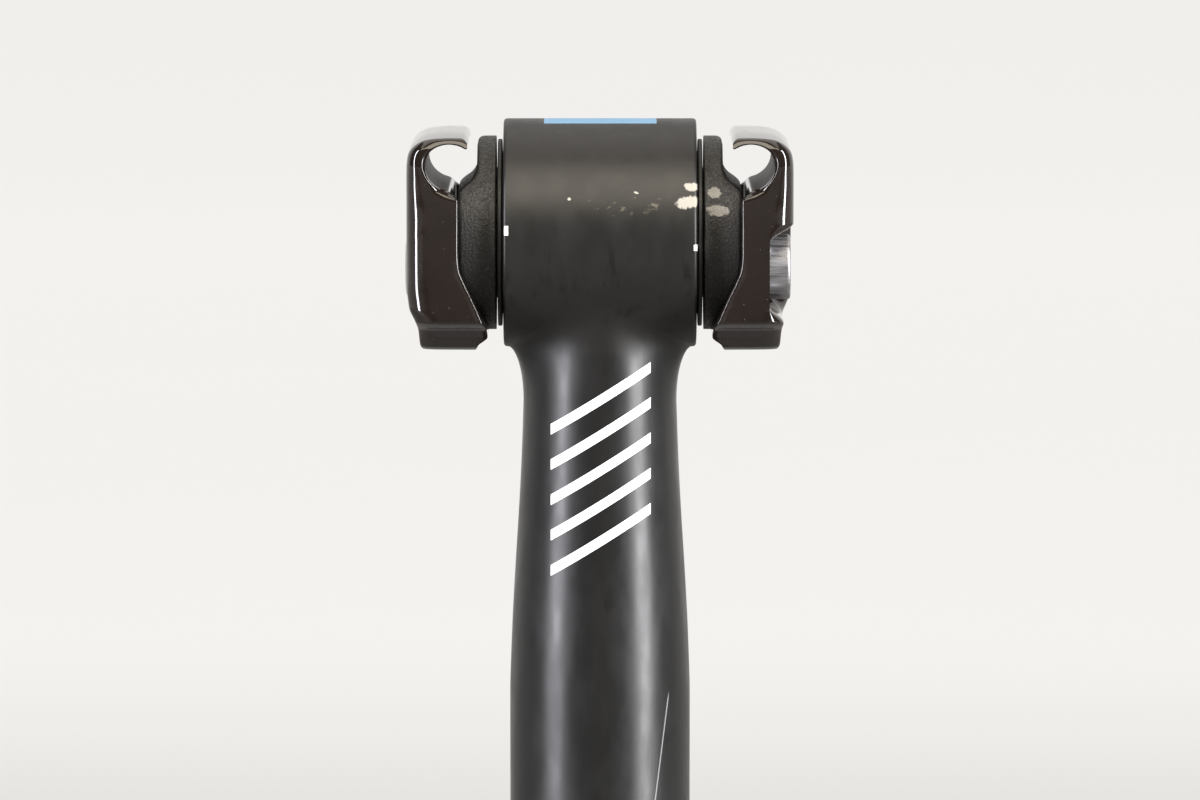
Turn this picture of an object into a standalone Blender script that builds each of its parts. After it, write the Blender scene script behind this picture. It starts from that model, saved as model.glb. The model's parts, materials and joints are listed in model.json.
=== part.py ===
"""Suspension seatpost: barrel head with side clamps on a shaft that telescopes into a sprung lower tube.

Metres, +Z up the post, origin at the centre of the lower tube's foot, +X along the barrel.
"""
import math

import bmesh
import bpy
from mathutils import Matrix

MM = 0.001

# Head
HEAD_Z = 339.0 * MM
BARREL_HALF = 14.5 * MM
BARREL_R = 17.2 * MM
BARREL_BORE_R = 12.4 * MM
BARREL_CHAMFER = 0.6 * MM

# Neck, measured as a drop below the barrel's axis
NECK_TOP_DROP = 8.0 * MM
NECK_FLARE_DROP = 17.2 * MM
NECK_WAIST_DROP = 25.4 * MM
NECK_END_DROP = 68.5 * MM
NECK_DROPS = [d * MM for d in (17.2, 19, 21, 23.5, 28, 34, 42, 50, 58)]
NECK_WAIST_R = 11.55 * MM
NECK_FLARE_RADIUS = 16.0 * MM

# Shaft
SHAFT_R = 13.6 * MM
SHAFT_BORE_R = 11.4 * MM
SHAFT_FOOT_Z = 72.0 * MM
NECK_BORE_R = 8.8 * MM
KEYWAY_WIDTH = 3.2 * MM
KEYWAY_FLOOR_R = 12.75 * MM
KEYWAY_Z = (192.0 * MM, 247.0 * MM)
KEY_ANGLES = (30.0, 150.0, 270.0)

# Saddle clamp, |x| measured from the middle of the post
INSERT_FLANGE_X = (14.7 * MM, 15.35 * MM)
INSERT_FLANGE_R = 14.1 * MM
INSERT_SPIGOT_X = 8.5 * MM
INSERT_SPIGOT_R = 12.2 * MM
INSERT_BORE_R = 10.0 * MM
CRADLE_X = (15.6 * MM, 21.3 * MM)
CRADLE_R = 14.6 * MM
CRADLE_BOSS_X = 11.5 * MM
CRADLE_BOSS_R = 9.8 * MM
CRADLE_WALL_X = 18.4 * MM
RAIL_X = 22.0 * MM
RAIL_Z = 11.0 * MM
SEAT_R = 3.6 * MM
JAW_GAP = 0.5 * MM
JAW_R = 3.55 * MM
CLAMP_OUT_X = 28.9 * MM
CLAMP_IN_X = 22.0 * MM
CLAMP_HALF_LENGTH = 18.0 * MM
CLAMP_TOP_Z = 15.6 * MM
CLAMP_FOOT_Z = -17.0 * MM
LIP_X = 19.7 * MM

# Clamp bolt, below the barrel's axis
BOLT_DROP = 5.2 * MM
BOLT_R = 3.0 * MM
BOLT_HOLE_R = 3.3 * MM
BOLT_END_X = -26.8 * MM
HEAD_X = (24.9 * MM, 28.7 * MM)
HEAD_R = 4.9 * MM
HEAD_POCKET_R = 5.4 * MM
HEAD_POCKET_X = 23.8 * MM
BOLT_SOCKET_FLATS = 5.0 * MM
WASHER_X = (24.05 * MM, 24.65 * MM)
TROUGH_X = 25.4 * MM
TROUGH_HALF_HEIGHT = 6.05 * MM
NUT_DISC_X = (25.3 * MM, 29.3 * MM)
NUT_DISC_R = 4.95 * MM
NUT_HOLE_R = 5.3 * MM
NUT_STEM_X = 22.4 * MM
NUT_STEM_FLATS = 8.4 * MM
NUT_SLOT_FLATS = 9.1 * MM

# Lower tube and what it holds
TUBE_R = 15.8 * MM
TUBE_BORE_R = 14.5 * MM
TUBE_TOP_Z = 205.0 * MM
COLLAR_R = 18.7 * MM
COLLAR_Z = (197.0 * MM, 217.0 * MM)
COLLAR_GRIPS = 12
SLIDE_INNER_R = 13.75 * MM
SLIDE_OUTER_R = 14.33 * MM
UPPER_BUSHING_Z = (149.8 * MM, 190.0 * MM)
LOWER_BUSHING_Z = (76.0 * MM, 98.0 * MM)
KEY_Z = (193.5 * MM, 203.5 * MM)
KEY_R = (13.05 * MM, 14.25 * MM)
KEY_WIDTH = 2.6 * MM
TOP_OUT_Z = (140.9 * MM, 149.4 * MM)
RING_Z = (138.6 * MM, 140.4 * MM)
RING_GROOVE_R = 12.8 * MM
PLUG_Z = (0.8 * MM, 13.9 * MM)
PLUG_R = 14.2 * MM
PLUG_SOCKET_FLATS = 8.0 * MM
PLUG_SOCKET_DEPTH = 7.8 * MM
LOWER_SEAT_Z = (14.2 * MM, 19.8 * MM)
SPIGOT_R = 5.6 * MM
BUMPER_Z = (20.1 * MM, 27.6 * MM)
BUMPER_INNER_R = 10.6 * MM
BUMPER_OUTER_R = 13.9 * MM
SPRING_Z = (20.1 * MM, 166.1 * MM)
SPRING_MEAN_R = 8.2 * MM
SPRING_WIRE_R = 1.7 * MM
SPRING_TURNS = 14
SPRING_END_PITCH = 3.8 * MM
CORE_R = 5.3 * MM
CORE_Z = (27.4 * MM, 156.0 * MM)
CUSHION_Z = (166.4 * MM, 174.3 * MM)
CUSHION_R = 9.9 * MM
UPPER_SEAT_Z = (174.6 * MM, 182.0 * MM)
PIN_Z = 178.3 * MM
PIN_R = 2.0 * MM
PIN_HALF_LENGTH = 13.2 * MM
PIN_HOLE_R = 2.3 * MM

ROUND = 40
TINY_MERGE = 1e-6
SIDES = {"left": -1.0, "right": 1.0}


def clear_scene():
    for obj in list(bpy.data.objects):
        bpy.data.objects.remove(obj, do_unlink=True)


def new_collection(name):
    group = bpy.data.collections.new(name)
    bpy.context.scene.collection.children.link(group)
    return group


def make_material(name, colour, roughness, metallic=0.0):
    mat = bpy.data.materials.new(name)
    mat.use_nodes = True
    shader = mat.node_tree.nodes["Principled BSDF"]
    shader.inputs["Base Color"].default_value = (*colour, 1.0)
    shader.inputs["Roughness"].default_value = roughness
    shader.inputs["Metallic"].default_value = metallic
    return mat


def add_mesh(name, mesh, group):
    obj = bpy.data.objects.new(name, mesh)
    group.objects.link(obj)
    return obj


def along_x(side=1.0, z=HEAD_Z):
    """Lays a turned piece's axis along X, towards the given side, at height z."""
    return Matrix.Translation((0, 0, z)) @ Matrix.Rotation(side * math.pi / 2, 4, "Y")


def turned(name, profile, group, place=None, segments=ROUND, closed=True):
    """Turns a profile of (radius, height) about Z.

    A closed profile makes a ring, and an open one starts and ends on the axis.
    """
    mesh = bpy.data.meshes.new(name)
    edges = [(i, i + 1) for i in range(len(profile) - 1)]
    if closed:
        edges.append((len(profile) - 1, 0))
    mesh.from_pydata([(r, 0, z) for r, z in profile], edges, [])
    obj = add_mesh(name, mesh, group)
    screw = obj.modifiers.new("Turn", "SCREW")
    screw.steps = segments
    screw.render_steps = segments
    screw.use_merge_vertices = True
    screw.merge_threshold = TINY_MERGE
    if place is not None:
        obj.matrix_world = place
    return obj


def rod_profile(radius, low, high, chamfer=0.0):
    """Outline of a plain round bar, from its top centre down to its bottom centre."""
    if chamfer == 0.0:
        return [(0, high), (radius, high), (radius, low), (0, low)]
    return [(0, high), (radius - chamfer, high), (radius, high - chamfer),
            (radius, low + chamfer), (radius - chamfer, low), (0, low)]


def ring_profile(outer, inner, low, high, chamfer=0.0):
    """Outline of a plain ring, down its outer side and up its inner one."""
    if chamfer == 0.0:
        return [(outer, high), (outer, low), (inner, low), (inner, high)]
    return [(outer - chamfer, high), (outer, high - chamfer), (outer, low + chamfer),
            (outer - chamfer, low), (inner, low), (inner, high)]


def as_cutter(obj):
    obj.hide_render = True
    obj.display_type = "WIRE"
    return obj


def combine(obj, other, operation):
    step = obj.modifiers.new(operation.title(), "BOOLEAN")
    step.operation = operation
    step.solver = "EXACT"
    step.object = other
    return obj


def bar_cutter(name, group, radius, low, high, place, segments=24):
    """A round, square or hexagonal bar, closed at both ends, from low to high along its own axis."""
    mesh = bpy.data.meshes.new(name)
    shape = bmesh.new()
    bmesh.ops.create_cone(shape, cap_ends=True, segments=segments, radius1=radius,
                          radius2=radius, depth=high - low)
    bmesh.ops.translate(shape, verts=shape.verts, vec=(0, 0, (low + high) / 2))
    shape.to_mesh(mesh)
    shape.free()
    obj = add_mesh(name, mesh, group)
    obj.matrix_world = place
    return as_cutter(obj)


def box(name, group, low, high):
    mesh = bpy.data.meshes.new(name)
    shape = bmesh.new()
    bmesh.ops.create_cube(shape, size=1.0)
    size = [b - a for a, b in zip(low, high)]
    middle = [(a + b) / 2 for a, b in zip(low, high)]
    bmesh.ops.scale(shape, verts=shape.verts, vec=size)
    bmesh.ops.translate(shape, verts=shape.verts, vec=middle)
    shape.to_mesh(mesh)
    shape.free()
    return add_mesh(name, mesh, group)


def box_cutter(name, group, low, high, place):
    obj = box(name, group, low, high)
    obj.matrix_world = place
    return as_cutter(obj)


def plate(name, outline, half, group, place):
    """Extrudes a flat outline by half each way and gives it as a closed mesh object."""
    curve = bpy.data.curves.new(name, "CURVE")
    curve.dimensions = "2D"
    curve.fill_mode = "BOTH"
    curve.extrude = half
    spline = curve.splines.new("POLY")
    spline.points.add(len(outline) - 1)
    for point, (x, y) in zip(spline.points, outline):
        point.co = (x, y, 0, 1)
    spline.use_cyclic_u = True
    flat = bpy.data.objects.new(name + "_outline", curve)
    group.objects.link(flat)
    bpy.context.view_layer.update()
    ready = flat.evaluated_get(bpy.context.evaluated_depsgraph_get())
    mesh = bpy.data.meshes.new_from_object(ready)
    bpy.data.objects.remove(flat, do_unlink=True)
    shape = bmesh.new()
    shape.from_mesh(mesh)
    bmesh.ops.remove_doubles(shape, verts=shape.verts, dist=TINY_MERGE)
    bmesh.ops.recalc_face_normals(shape, faces=shape.faces)
    shape.to_mesh(mesh)
    shape.free()
    obj = add_mesh(name, mesh, group)
    obj.matrix_world = place
    return obj


def arc(centre, radius, start, end, steps):
    """Points on an arc, angles in degrees."""
    points = []
    for i in range(steps + 1):
        a = math.radians(start + (end - start) * i / steps)
        points.append((centre[0] + radius * math.cos(a), centre[1] + radius * math.sin(a)))
    return points


def outward(outline, side):
    return [(side * x, z) for x, z in outline]


FRONT_VIEW = Matrix.Translation((0, 0, HEAD_Z)) @ Matrix.Rotation(math.pi / 2, 4, "X")
SIDE_VIEW = Matrix.Translation((0, 0, HEAD_Z)) @ Matrix((
    (0, 0, 1, 0),
    (1, 0, 0, 0),
    (0, 1, 0, 0),
    (0, 0, 0, 1),
))


def neck_radius(drop):
    """Radius of the neck at a drop below the barrel's axis: a round flare, a waist, then a straight taper."""
    if drop <= NECK_WAIST_DROP:
        rise = NECK_WAIST_DROP - max(drop, NECK_FLARE_DROP)
        return NECK_WAIST_R + NECK_FLARE_RADIUS - math.sqrt(NECK_FLARE_RADIUS ** 2 - rise ** 2)
    share = min(1.0, (drop - NECK_WAIST_DROP) / (NECK_END_DROP - NECK_WAIST_DROP))
    eased = share - math.sin(2 * math.pi * share) / (6 * math.pi)
    return NECK_WAIST_R + (SHAFT_R - NECK_WAIST_R) * eased


def build_post_shaft(parts, cutters, finish):
    profile = [(0, HEAD_Z - NECK_TOP_DROP), (neck_radius(NECK_TOP_DROP), HEAD_Z - NECK_TOP_DROP)]
    profile += [(neck_radius(d), HEAD_Z - d) for d in NECK_DROPS]
    profile += [
        (SHAFT_R, HEAD_Z - NECK_END_DROP),
        (SHAFT_R, RING_Z[1] + 0.3 * MM),
        (RING_GROOVE_R, RING_Z[1] + 0.3 * MM),
        (RING_GROOVE_R, RING_Z[0] - 0.3 * MM),
        (SHAFT_R, RING_Z[0] - 0.3 * MM),
        (SHAFT_R, SHAFT_FOOT_Z),
        (SHAFT_BORE_R, SHAFT_FOOT_Z),
        (SHAFT_BORE_R, HEAD_Z - 66 * MM),
        (NECK_BORE_R, HEAD_Z - 36 * MM),
        (NECK_BORE_R - 3 * MM, HEAD_Z - 26 * MM),
        (0, HEAD_Z - 24 * MM),
    ]
    shaft = turned("post_shaft", profile, parts, closed=False)
    barrel_profile = rod_profile(BARREL_R, -BARREL_HALF, BARREL_HALF, BARREL_CHAMFER)
    barrel = as_cutter(turned("barrel_form", barrel_profile, cutters, along_x(), closed=False, segments=48))
    combine(shaft, barrel, "UNION")
    reach = BARREL_HALF + 2 * MM
    bore = bar_cutter("barrel_bore", cutters, BARREL_BORE_R, -reach, reach, along_x(), 48)
    combine(shaft, bore, "DIFFERENCE")
    for angle in KEY_ANGLES:
        turn = Matrix.Rotation(math.radians(angle), 4, "Z")
        low = (KEYWAY_FLOOR_R, -KEYWAY_WIDTH / 2, KEYWAY_Z[0])
        high = (SHAFT_R + 2 * MM, KEYWAY_WIDTH / 2, KEYWAY_Z[1])
        combine(shaft, box_cutter(f"keyway_{angle:.0f}", cutters, low, high, turn), "DIFFERENCE")
    hole = bar_cutter("shaft_pin_hole", cutters, PIN_HOLE_R, -20 * MM, 20 * MM, along_x(z=PIN_Z), 16)
    combine(shaft, hole, "DIFFERENCE")
    shaft.data.materials.append(finish)


def build_insert(name, side, parts, finish):
    x0, x1 = INSERT_FLANGE_X
    profile = [
        (INSERT_FLANGE_R, x1),
        (INSERT_FLANGE_R, x0),
        (INSERT_SPIGOT_R, x0),
        (INSERT_SPIGOT_R, INSERT_SPIGOT_X),
        (INSERT_BORE_R, INSERT_SPIGOT_X),
        (INSERT_BORE_R, x1),
    ]
    insert = turned(name, profile, parts, along_x(side))
    insert.data.materials.append(finish)


def build_cradle(name, side, parts, cutters, finish):
    """A disc with a boss, its outer face cut away for the rail above and slanted below."""
    x0, x1 = CRADLE_X
    profile = [
        (0, x1),
        (CRADLE_R - 0.4 * MM, x1),
        (CRADLE_R, x1 - 0.4 * MM),
        (CRADLE_R, x0),
        (CRADLE_BOSS_R, x0),
        (CRADLE_BOSS_R, CRADLE_BOSS_X),
        (0, CRADLE_BOSS_X),
    ]
    cradle = turned(name, profile, parts, along_x(side), closed=False)
    far = x1 + 3 * MM
    start = math.degrees(math.asin((x1 - RAIL_X) / SEAT_R)) - 90
    seat = arc((RAIL_X, RAIL_Z), SEAT_R, start, -112.5, 1)
    seat += arc((RAIL_X, RAIL_Z), SEAT_R, -112.5, -180, 3)[1:]
    upper = [(far, RAIL_Z - SEAT_R - 0.3 * MM), (x1 + 0.1 * MM, RAIL_Z - SEAT_R - 0.3 * MM)]
    upper += seat + [(CRADLE_WALL_X, CRADLE_R + 2 * MM), (far, CRADLE_R + 2 * MM)]
    lower = [(far, -5.0 * MM), (x1 + 0.1 * MM, -5.0 * MM), (17.6 * MM, -13.4 * MM),
             (17.6 * MM, -16.6 * MM), (far, -16.6 * MM)]
    for label, outline in (("seat", upper), ("slant", lower)):
        cutter = plate(f"{name}_{label}", outward(outline, side), 20 * MM, cutters, FRONT_VIEW)
        combine(cradle, as_cutter(cutter), "DIFFERENCE")
    bolt_line = along_x(side, HEAD_Z - BOLT_DROP)
    hole = bar_cutter(f"{name}_hole", cutters, BOLT_HOLE_R, 5 * MM, 25 * MM, bolt_line)
    combine(cradle, hole, "DIFFERENCE")
    cradle.data.materials.append(finish)


def clamp_front_outline():
    """The outer clamp seen along the rail: hooked lip, groove, straight inner face, slanted foot."""
    centre = (RAIL_X + JAW_GAP, RAIL_Z)
    lip_angle = 180 - math.degrees(math.acos((centre[0] - LIP_X) / JAW_R))
    groove = arc(centre, JAW_R, -82, lip_angle, 10)
    inner = [
        (18.3 * MM, CLAMP_FOOT_Z),
        (18.3 * MM, -14.2 * MM),
        (18.9 * MM, -12.6 * MM),
        (CLAMP_IN_X, -5.5 * MM),
        (CLAMP_IN_X, 6.0 * MM),
    ]
    outer = [
        (LIP_X, 14.7 * MM),
        (20.6 * MM, CLAMP_TOP_Z),
        (26.8 * MM, 15.2 * MM),
        (28.4 * MM, 13.9 * MM),
        (CLAMP_OUT_X, 12.2 * MM),
        (CLAMP_OUT_X, -9.0 * MM),
        (28.3 * MM, -11.0 * MM),
        (27.4 * MM, -12.4 * MM),
        (27.2 * MM, -16.0 * MM),
        (26.3 * MM, CLAMP_FOOT_Z),
    ]
    return inner + groove + outer


def clamp_side_outline():
    """The outer clamp seen along the barrel: a crowned top and a foot narrower than the body."""
    half = [
        (8.5 * MM, CLAMP_FOOT_Z),
        (10.5 * MM, -15.5 * MM),
        (15.6 * MM, -11.6 * MM),
        (CLAMP_HALF_LENGTH, -8.0 * MM),
        (CLAMP_HALF_LENGTH, 11.0 * MM),
        (16.5 * MM, 14.0 * MM),
        (8.0 * MM, CLAMP_TOP_Z + 0.4 * MM),
    ]
    return half + [(-y, z) for y, z in reversed(half)]


def build_clamp(name, side, parts, cutters, finish):
    outline = outward(clamp_front_outline(), side)
    clamp = plate(name, outline, CLAMP_HALF_LENGTH + 2 * MM, parts, FRONT_VIEW)
    envelope = plate(f"{name}_envelope", clamp_side_outline(), 40 * MM, cutters, SIDE_VIEW)
    combine(clamp, as_cutter(envelope), "INTERSECT")
    bolt_line = along_x(side, HEAD_Z - BOLT_DROP)
    if side > 0:
        bores = [
            ("bolt", BOLT_HOLE_R, 20 * MM, 24),
            ("pocket", HEAD_POCKET_R, HEAD_POCKET_X, 32),
        ]
        low = (TROUGH_X, -25 * MM, -BOLT_DROP - TROUGH_HALF_HEIGHT)
        high = (35 * MM, 0, -BOLT_DROP + TROUGH_HALF_HEIGHT)
        trough = box_cutter(f"{name}_trough", cutters, low, high, Matrix.Translation((0, 0, HEAD_Z)))
        combine(clamp, trough, "DIFFERENCE")
        round_end = bar_cutter(f"{name}_trough_end", cutters, TROUGH_HALF_HEIGHT, TROUGH_X - 0.05 * MM,
                               34 * MM, bolt_line, 36)
        combine(clamp, round_end, "DIFFERENCE")
    else:
        bores = [
            ("slot", NUT_SLOT_FLATS / math.sqrt(3), 20 * MM, 6),
            ("nut", NUT_HOLE_R, NUT_DISC_X[0] - 0.3 * MM, 32),
        ]
    for label, radius, start, segments in bores:
        bore = bar_cutter(f"{name}_{label}", cutters, radius, start, 33 * MM, bolt_line, segments)
        combine(clamp, bore, "DIFFERENCE")
    clamp.data.materials.append(finish)


def build_bolt_group(parts, cutters, steel, dark):
    line = along_x(1.0, HEAD_Z - BOLT_DROP)
    x0, x1 = HEAD_X
    profile = [(0, x1), (HEAD_R - 0.5 * MM, x1), (HEAD_R, x1 - 0.5 * MM), (HEAD_R, x0), (BOLT_R, x0),
               (BOLT_R, BOLT_END_X + 0.6 * MM), (BOLT_R - 0.6 * MM, BOLT_END_X), (0, BOLT_END_X)]
    bolt = turned("clamp_bolt", profile, parts, line, 24, closed=False)
    socket = bar_cutter("bolt_socket", cutters, BOLT_SOCKET_FLATS / math.sqrt(3), x1 - 2.6 * MM,
                        x1 + 3 * MM, line, 6)
    combine(bolt, socket, "DIFFERENCE")
    bolt.data.materials.append(steel)
    washer = turned("bolt_washer", ring_profile(HEAD_R, BOLT_HOLE_R, *WASHER_X), parts, line, 24)
    washer.data.materials.append(steel)
    left_line = along_x(-1.0, HEAD_Z - BOLT_DROP)
    n0, n1 = NUT_DISC_X
    profile = [(0, n1), (NUT_DISC_R - 0.9 * MM, n1), (NUT_DISC_R, n1 - 0.5 * MM), (NUT_DISC_R, n0), (0, n0)]
    nut = turned("clamp_nut", profile, parts, left_line, 32, closed=False)
    stem = bar_cutter("nut_stem", cutters, NUT_STEM_FLATS / math.sqrt(3), NUT_STEM_X,
                      n0 + 0.5 * MM, left_line, 6)
    combine(nut, stem, "UNION")
    thread = bar_cutter("nut_thread", cutters, BOLT_HOLE_R, NUT_STEM_X - 3 * MM, n1 - 1.2 * MM, left_line)
    combine(nut, thread, "DIFFERENCE")
    nut.data.materials.append(dark)


def build_lower_tube(parts, finish):
    tube = turned("lower_tube", [
        (TUBE_R - 0.5 * MM, TUBE_TOP_Z),
        (TUBE_R, TUBE_TOP_Z - 0.5 * MM),
        (TUBE_R, 0.4 * MM),
        (TUBE_R - 0.4 * MM, 0),
        (TUBE_BORE_R, 0),
        (TUBE_BORE_R, TUBE_TOP_Z),
    ], parts, segments=48)
    tube.data.materials.append(finish)


def build_collar(parts, cutters, finish):
    """A threaded cap over the tube's end, with a seal groove at its top and scallops to grip."""
    low, high = COLLAR_Z
    lip_r = SLIDE_INNER_R + 0.25 * MM
    collar = turned("seal_collar", [
        (COLLAR_R - 2.0 * MM, high),
        (COLLAR_R - 0.6 * MM, high - 1.6 * MM),
        (COLLAR_R, high - 3.2 * MM),
        (COLLAR_R, low + 1.0 * MM),
        (COLLAR_R - 1.0 * MM, low),
        (TUBE_R + 0.3 * MM, low),
        (TUBE_R + 0.3 * MM, 208.4 * MM),
        (lip_r, 208.4 * MM),
        (lip_r, 211.5 * MM),
        (15.9 * MM, 211.5 * MM),
        (15.9 * MM, high),
    ], parts, segments=48)
    for i in range(COLLAR_GRIPS):
        turn = Matrix.Rotation(2 * math.pi * i / COLLAR_GRIPS, 4, "Z")
        place = turn @ Matrix.Translation((COLLAR_R + 2.6 * MM, 0, 0))
        scallop = bar_cutter(f"scallop_{i}", cutters, 3.3 * MM, low - 2 * MM, 209.5 * MM, place, 12)
        combine(collar, scallop, "DIFFERENCE")
    collar.data.materials.append(finish)
    return collar


def build_seals(parts, rubber):
    wiper = turned("wiper_seal", [
        (15.1 * MM, 217.4 * MM),
        (15.6 * MM, 216.6 * MM),
        (15.6 * MM, 211.8 * MM),
        (SLIDE_INNER_R + 0.15 * MM, 211.8 * MM),
        (SLIDE_INNER_R + 0.5 * MM, 214.5 * MM),
        (SLIDE_INNER_R, 217.8 * MM),
    ], parts)
    wiper.data.materials.append(rubber)
    for name, major, minor, z in (("collar_o_ring", 15.1 * MM, 0.85 * MM, 206.7 * MM),
                                  ("plug_o_ring", 13.5 * MM, 0.7 * MM, 10.8 * MM)):
        section = [(major + r, z + h) for r, h in arc((0, 0), minor, 90, -240, 11)]
        ring = turned(name, section, parts, segments=32)
        ring.data.materials.append(rubber)


def build_sliding_parts(parts, materials):
    """Bushings, stops and keys between the shaft and the lower tube."""
    rings = (
        ("upper_bushing", SLIDE_OUTER_R, SLIDE_INNER_R, UPPER_BUSHING_Z, "bushing_polymer"),
        ("lower_bushing", SLIDE_OUTER_R, SLIDE_INNER_R, LOWER_BUSHING_Z, "bushing_polymer"),
        ("top_out_bumper", SLIDE_OUTER_R, SLIDE_INNER_R, TOP_OUT_Z, "rubber"),
        ("retaining_ring", 14.2 * MM, RING_GROOVE_R + 0.2 * MM, RING_Z, "steel"),
    )
    for name, outer, inner, (low, high), finish in rings:
        ring = turned(name, ring_profile(outer, inner, low, high), parts)
        ring.data.materials.append(materials[finish])
    for number, angle in enumerate(KEY_ANGLES, 1):
        low = (KEY_R[0], -KEY_WIDTH / 2, KEY_Z[0])
        high = (KEY_R[1], KEY_WIDTH / 2, KEY_Z[1])
        key = box(f"guide_key_{number}", parts, low, high)
        key.matrix_world = Matrix.Rotation(math.radians(angle), 4, "Z")
        key.data.materials.append(materials["brass"])


def spring_points():
    """Centre line of a coil with one close turn at each end."""
    low = SPRING_Z[0] + SPRING_WIRE_R
    high = SPRING_Z[1] - SPRING_WIRE_R
    open_turns = SPRING_TURNS - 2
    open_pitch = (high - low - 2 * SPRING_END_PITCH) / open_turns
    per_turn = 12
    points = []
    for i in range(SPRING_TURNS * per_turn + 1):
        turn = i / per_turn
        close = min(turn, 1.0) + max(turn - SPRING_TURNS + 1, 0.0)
        z = low + close * SPRING_END_PITCH + (turn - close) * open_pitch
        a = 2 * math.pi * turn
        points.append((SPRING_MEAN_R * math.cos(a), SPRING_MEAN_R * math.sin(a), z))
    return points


def build_spring_stack(parts, cutters, materials):
    curve = bpy.data.curves.new("main_spring", "CURVE")
    curve.dimensions = "3D"
    curve.bevel_depth = SPRING_WIRE_R
    curve.bevel_resolution = 2
    curve.use_fill_caps = True
    points = spring_points()
    spline = curve.splines.new("POLY")
    spline.points.add(len(points) - 1)
    for point, place in zip(spline.points, points):
        point.co = (*place, 1)
    spring = bpy.data.objects.new("main_spring", curve)
    parts.objects.link(spring)
    spring.data.materials.append(materials["spring_steel"])

    core_profile = rod_profile(CORE_R, *CORE_Z, 0.6 * MM)
    core = turned("elastomer_core", core_profile, parts, segments=20, closed=False)
    core.data.materials.append(materials["elastomer"])
    cushion_profile = ring_profile(CUSHION_R, SPIGOT_R + 0.4 * MM, *CUSHION_Z)
    cushion = turned("spring_top_cushion", cushion_profile, parts, segments=24)
    cushion.data.materials.append(materials["elastomer"])
    bumper_profile = ring_profile(BUMPER_OUTER_R, BUMPER_INNER_R, *BUMPER_Z, 1.0 * MM)
    bumper = turned("bottom_out_bumper", bumper_profile, parts, segments=32)
    bumper.data.materials.append(materials["rubber"])

    low, high = LOWER_SEAT_Z
    seat = turned("spring_seat_lower", [
        (0, BUMPER_Z[1] - 0.6 * MM),
        (SPIGOT_R, BUMPER_Z[1] - 0.6 * MM),
        (SPIGOT_R, high),
        (14.1 * MM, high),
        (14.1 * MM, low),
        (0, low),
    ], parts, segments=32, closed=False)
    seat.data.materials.append(materials["alloy"])

    low, high = UPPER_SEAT_Z
    seat = turned("spring_seat_upper", [
        (0, high),
        (SHAFT_BORE_R - 0.3 * MM, high),
        (SHAFT_BORE_R - 0.3 * MM, low),
        (SPIGOT_R, low),
        (SPIGOT_R, CORE_Z[1] + 4.3 * MM),
        (0, CORE_Z[1] + 4.3 * MM),
    ], parts, segments=32, closed=False)
    hole = bar_cutter("seat_pin_hole", cutters, PIN_HOLE_R, -20 * MM, 20 * MM, along_x(z=PIN_Z), 16)
    combine(seat, hole, "DIFFERENCE")
    seat.data.materials.append(materials["alloy"])
    pin_profile = rod_profile(PIN_R, -PIN_HALF_LENGTH, PIN_HALF_LENGTH)
    pin = turned("upper_seat_pin", pin_profile, parts, along_x(z=PIN_Z), 16, closed=False)
    pin.data.materials.append(materials["steel"])


def build_plug(parts, cutters, finish):
    low, high = PLUG_Z
    plug = turned("preload_plug", [
        (0, high),
        (PLUG_R - 0.6 * MM, high),
        (PLUG_R - 0.6 * MM, 12.0 * MM),
        (12.6 * MM, 12.0 * MM),
        (12.6 * MM, 9.6 * MM),
        (PLUG_R, 9.6 * MM),
        (PLUG_R, low + 0.8 * MM),
        (PLUG_R - 0.8 * MM, low),
        (0, low),
    ], parts, segments=36, closed=False)
    socket = bar_cutter("plug_socket", cutters, PLUG_SOCKET_FLATS / math.sqrt(3), low - 3 * MM,
                        low + PLUG_SOCKET_DEPTH, Matrix.Identity(4), 6)
    combine(plug, socket, "DIFFERENCE")
    plug.data.materials.append(finish)


def main():
    clear_scene()
    parts = new_collection("suspension_seatpost")
    cutters = new_collection("cutters")
    materials = {
        "black_alloy": make_material("black_alloy", (0.035, 0.035, 0.037), 0.42, 0.3),
        "cast_black": make_material("cast_black", (0.045, 0.044, 0.043), 0.75),
        "gloss_black": make_material("gloss_black", (0.012, 0.011, 0.011), 0.12),
        "insert_polymer": make_material("insert_polymer", (0.02, 0.02, 0.02), 0.6),
        "steel": make_material("steel", (0.32, 0.32, 0.33), 0.3, 1.0),
        "spring_steel": make_material("spring_steel", (0.12, 0.12, 0.13), 0.35, 1.0),
        "rubber": make_material("rubber", (0.02, 0.02, 0.02), 0.8),
        "elastomer": make_material("elastomer", (0.30, 0.22, 0.08), 0.6),
        "bushing_polymer": make_material("bushing_polymer", (0.55, 0.53, 0.47), 0.5),
        "brass": make_material("brass", (0.55, 0.40, 0.14), 0.3, 1.0),
        "alloy": make_material("alloy", (0.5, 0.5, 0.51), 0.35, 1.0),
    }
    build_post_shaft(parts, cutters, materials["black_alloy"])
    for side_name, side in SIDES.items():
        build_insert(f"barrel_insert_{side_name}", side, parts, materials["insert_polymer"])
        build_cradle(f"inner_cradle_{side_name}", side, parts, cutters, materials["cast_black"])
        build_clamp(f"outer_clamp_{side_name}", side, parts, cutters, materials["gloss_black"])
    build_bolt_group(parts, cutters, materials["steel"], materials["gloss_black"])
    build_lower_tube(parts, materials["black_alloy"])
    build_collar(parts, cutters, materials["black_alloy"])
    build_seals(parts, materials["rubber"])
    build_sliding_parts(parts, materials)
    build_spring_stack(parts, cutters, materials)
    build_plug(parts, cutters, materials["alloy"])


main()
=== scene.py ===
"""Finished surfaces, materials and studio for a suspension seatpost, built around its fixed frame.

Every shape is a numpy surface in metres, in the frame's own place: +Z up the post, +X along the barrel.
Lengths inside the shape functions are in millimetres, and add_piece turns them into metres.
"""

import json
import math

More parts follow.
